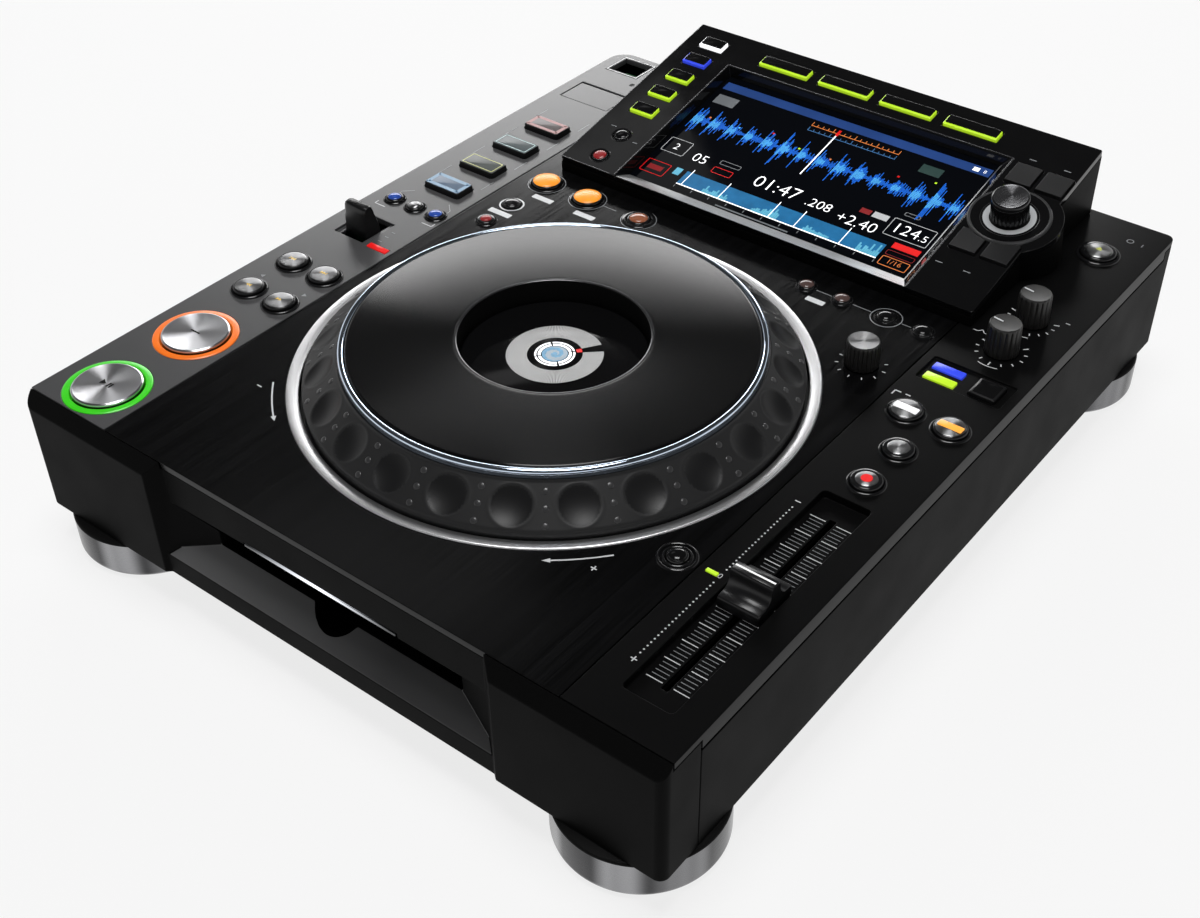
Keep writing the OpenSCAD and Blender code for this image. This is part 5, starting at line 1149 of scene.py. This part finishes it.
# Fields and figures between the waveform and the overview
bar(-66, 74.5, -54, 81.5, grey_lit)
bar(50, 75, 61, 81, lit("dark_tag", (0.02, 0.045, 0.04), 0.4))
bar(41, 38.2, 46.4, 41.4, red_dim)
bar(47.6, 38, 55.4, 41.8, print_white)
for x0, v0, x1, v1, mat in ((-67.5, 32.3, -54.5, 43, print_white), (57.6, 30.6, 79.6, 42.6, print_white),
                            (-35.5, 36.4, -24, 39.4, print_dim), (-36, 29.6, -25, 34, red_lit),
                            (60, 45.6, 68, 48, print_dim), (-68, 15.4, -54.5, 24.6, red_lit),
                            (65.6, 12.6, 79.6, 18.6, orange_line)):
    outlined(x0, v0, x1, v1, mat)
for text, size, x, v in (("8", 3.2, 77.6, 88.5), ("2", 6.2, -61, 37.4), ("05", 8.6, -45.4, 35),
                         ("01:47", 11.4, -1, 34.2), (".208", 8.0, 22.6, 33.2), ("+2.40", 9.2, 44, 31),
                         ("124", 9.4, 66.6, 36.4), (".5", 6.2, 76, 35.4)):
    screen.number(text, size, FIGURE, white_lit, on_panel @ spot(x, v))
screen.number("1/16", 4.2, FIGURE, orange_line, on_panel @ spot(72.6, 15.8))
# Overview of the whole track, with its marks and the fields beside it
bar(-65.4, 18.2, -57.2, 21.6, red_dim)
bar(-51.6, 20, -48, 25, over_pale)
bar(-45.5, 15.6, 63.6, 24.8, over_blue)
for k in range(109):
    h = 1.5 + 6.6 * next(draw) / DRAW_TOP * (0.5 + 0.5 * sin(k * 0.13))
    bar(-45.5 + k, 15.6, -44.6 + k, 15.6 + h, over_pale if (k // 14) % 2 else over_blue, 0.04)
for x in (-43, -22, 6, 20, 44):
    bar(x, 15.6, x + 0.4, 27, white_lit, 0.06)
bar(-45.5, 14.9, 63.6, 15.5, white_lit, 0.05)
for k in range(12):
    bar(-45.5 + 9.9 * k, 12.4, -45.1 + 9.9 * k, 14, print_dim)
bar(-20, 10.6, 20, 11.4, grey_lit)
bar(66, 24.4, 79.4, 28.2, red_lit)
outlined(65.6, 19.6, 79.6, 22.8, red_dim, 0.25)
screen.slab(box(154.5, 89.5, 0, SCREEN_LEFT + 75.6, 52.2), -8.1, -6.2, inner_black, on_panel)
screen.done("case", ("display_screen",))


# Heights off the panel: foot of the stems, and the bars that join rows of keys
PANEL_STEM, BAR_LOW, BAR_HIGH = -8.5, -4.5, -3.3
SOURCE_X, SOURCE_V, SOURCE_STEP = PANEL_X + 15.9, 106.9, 14.93
MENU_X, MENU_V, MENU_STEP = PANEL_X + 59.8, 106.8, 34.6
SIDE_X, SIDE_VS = PANEL_X + 17.2, (26.5, 9)


def panel_cap(piece, x, v, w, d, skirt):
    """A key with a glossy top over a lit skirt."""
    at = tilted(x, v)
    piece.slab(box(w, d, 0.8), -3.0, 1.05, skirt, at, edge=0.25)
    piece.slab(box(w - 1.3, d - 1.5, 0.5, 0, 0.65), 1.0, 1.6, gloss_black, at, edge=0.25, steps=3)
    piece.lathe([(0, PANEL_STEM), (1.6, PANEL_STEM), (1.6, -3)], key_black, at, 24)


source = Piece("source_key_caps")
for i, skirt in enumerate((white_lit, blue_lit, lime_lit, lime_lit, lime_lit)):
    panel_cap(source, SOURCE_X, SOURCE_V - SOURCE_STEP * i, 13.4, 7.4, skirt)
source.slab(box(8, 66, 0, SOURCE_X, SOURCE_V - 2 * SOURCE_STEP), BAR_LOW, BAR_HIGH, key_black, on_panel)
source.stand_for("source_keys", "key_glow")

menu = Piece("menu_key_caps")
for i in range(4):
    panel_cap(menu, MENU_X + MENU_STEP * i, MENU_V, 28, 7, lime_lit)
menu.slab(box(124, 4, 0, MENU_X + 1.5 * MENU_STEP, MENU_V), BAR_LOW, BAR_HIGH, key_black, on_panel)
menu.stand_for("menu_keys", "key_glow")

side_keys = Piece("side_key_domes")
collars = Piece("side_key_collars")
for v, mat in zip(SIDE_VS, (gloss_black, red_dim)):
    at = tilted(SIDE_X, v)
    side_keys.lathe([(4, -3.2), (4, 0.3), (3.8, 0.6), (3.2, 0.5)], bezel_black, at, 48)
    side_keys.lathe(crowned(3.2, 0.4, 0.8), mat, at, 48)
    side_keys.lathe([(0, PANEL_STEM), (1.6, PANEL_STEM), (1.6, -3), (4, -3)], key_black, at, 24)
    collars.lathe([(4.4, 0), (4.5, 0.3), (5.0, 0.35), (5.3, 0)], bezel_black, at, 48)
side_keys.slab(box(4, 23.5, 0, SIDE_X, sum(SIDE_VS) / 2), BAR_LOW, BAR_HIGH, key_black, on_panel)
side_keys.stand_for("side_keys", "key_black")
collars.done("case")

softened("browse_keys", 0.15, key_grey, "browse_keys")
finish_node("selector_shaft", steel)
knob = Piece("selector_knob_turned")
at = tilted(*SELECTOR)
knob.lathe([(3.05, 1.3), (7.6, 1.3), (7.9, 1.5), (7.9, 8.2), (7.5, 8.5), (7.5, 8.9), (8.3, 9.2), (8.5, 9.6),
            (8.5, 11.1), (8.2, 11.7), (7.6, 11.95)], bezel_black, at, 96)
knob.lathe([(7.6, 11.95), (7.2, 11.8), (0, 11.7)],
           turned("selector_top", (0.1, 0.1, 0.105), 0.26, 0.8, ring=0.35, aniso=0.9), at, 96)
for k in range(24):
    knob.slab(box(0.9, 1.1, 0.3, 8.0, 0, 2), 1.35, 8.2, bezel_black,
              at @ Matrix.Rotation(radians(15 * k), 4, "Z"))
knob.stand_for("selector_knob", "gloss_black", sharp=42)

# ---- rear sockets
def on_rear(x, off=0.0):
    """Frame of a socket: Z points out of the rear panel."""
    return spot(x, REAR + off, 44.25) @ Matrix.Rotation(-pi / 2, 4, "X")


rear = Piece("rear_socket_liners")
# Round audio and mains sockets, then the square network and computer sockets; the audio sockets' coloured
# rings have a painted glow
for x, mat in ((-22, red_dim), (-6, print_white), (14, orange_line), (104, inner_black)):
    at = on_rear(x)
    rear.lathe([(5.6, 0), (5.6, 0.5), (5.2, 0.8), (4.4, 0.8), (4.4, 0)], mat, at, 48)
    rear.lathe([(4.3, 0.1), (4.3, 3.9), (4.0, 4.2), (2.2, 4.2), (2.0, 3.8), (2.0, 0)], steel, at, 48)
for x, w, h in ((46, 15.2, 14.2), (74, 12.4, 11.4)):
    outer = box(w + 1.6, h + 1.6, 0.6)
    inner = box(w - 0.6, h - 0.6, 0.2)
    rear.band(level(outer, 0.12), level(inner, 0.12), steel, on_rear(x, 0.02))
    rear.band(level(outer, 0.0), level(outer, 0.12), steel, on_rear(x, 0.02))
# Gold contacts in the network socket
for k in range(8):
    rear.slab(box(0.5, 5, 0, 41.6 + 1.25 * k, 190), 49.9, 50.6, gold)
rear.done("case")

# ---- stage and light
def ground_paint():
    """Pale floor that glows to the camera and in reflections, and lights nothing."""
    p = Paint("floor_pale", (0.8, 0.8, 0.8), 0.9, spec=0.1)
    p.tint(p.noise(400, detail=2), 0.01)
    glow = p.node("Emission", Strength=1.0, Color=(1, 1, 1, 1))
    ray = p.node("LightPath").outputs
    shiny = p.math("MAXIMUM", ray["Is Glossy Ray"], ray["Is Transmission Ray"])
    seen = p.math("MAXIMUM", ray["Is Camera Ray"], shiny)
    mix = p.node("MixShader")
    p.link(p.math("MULTIPLY", seen, 0.8), mix.inputs[0])
    p.link(p.shader.outputs[0], mix.inputs[1])
    p.link(glow.outputs[0], mix.inputs[2])
    p.link(mix.outputs[0], p.tree.nodes["Material Output"].inputs[0])
    return p.mat


bm = bmesh.new()
bmesh.ops.create_grid(bm, x_segments=8, y_segments=8, size=4.0)
mesh = bpy.data.meshes.new("floor")
bm.to_mesh(mesh)
bm.free()
floor_object = bpy.data.objects.new("floor", mesh)
scene.collection.objects.link(floor_object)
mesh.materials.append(ground_paint())

# Bright up to 14 degrees above the horizon, almost dark from 21 degrees up
world = bpy.data.worlds.new("studio")
scene.world = world
world.use_nodes = True
tree = world.node_tree
sky = tree.nodes["Background"]
sky.inputs["Color"].default_value = (1, 1, 1, 1)
way = tree.nodes.new("ShaderNodeTexCoord")
axes = tree.nodes.new("ShaderNodeSeparateXYZ")
fade = tree.nodes.new("ShaderNodeMapRange")
for key, value in (("From Min", 0.24), ("From Max", 0.36), ("To Min", 1.0), ("To Max", 0.05)):
    fade.inputs[key].default_value = value
tree.links.new(way.outputs["Generated"], axes.inputs[0])
tree.links.new(axes.outputs[2], fade.inputs[0])
tree.links.new(fade.outputs[0], sky.inputs["Strength"])


def lamp(name, place, target, size, power, size_y=None):
    """A square or rectangular lamp; places and sizes in metres, power in watts."""
    data = bpy.data.lights.new(name, "AREA")
    data.shape = "RECTANGLE"
    data.size, data.size_y = size, size_y or size
    data.energy = power
    obj = bpy.data.objects.new(name, data)
    scene.collection.objects.link(obj)
    obj.location = place
    obj.rotation_euler = (Vector(target) - Vector(place)).to_track_quat("-Z", "Y").to_euler()


lamp("key", (0.05, -0.1, 2.0), (0, 0, 0.07), 0.8, 28)
lamp("rear_sheen", (-0.96, 1.29, 0.71), (0, 0.05, 0.07), 1.4, 11, 0.27)
lamp("left_sheen", (-1.1, 0.75, 1.44), (-0.1, 0.1, 0.09), 0.5, 0.26, 0.28)
lamp("right_rim", (1.5, 0.9, 0.7), (0.1, 0, 0.05), 0.8, 0.4)
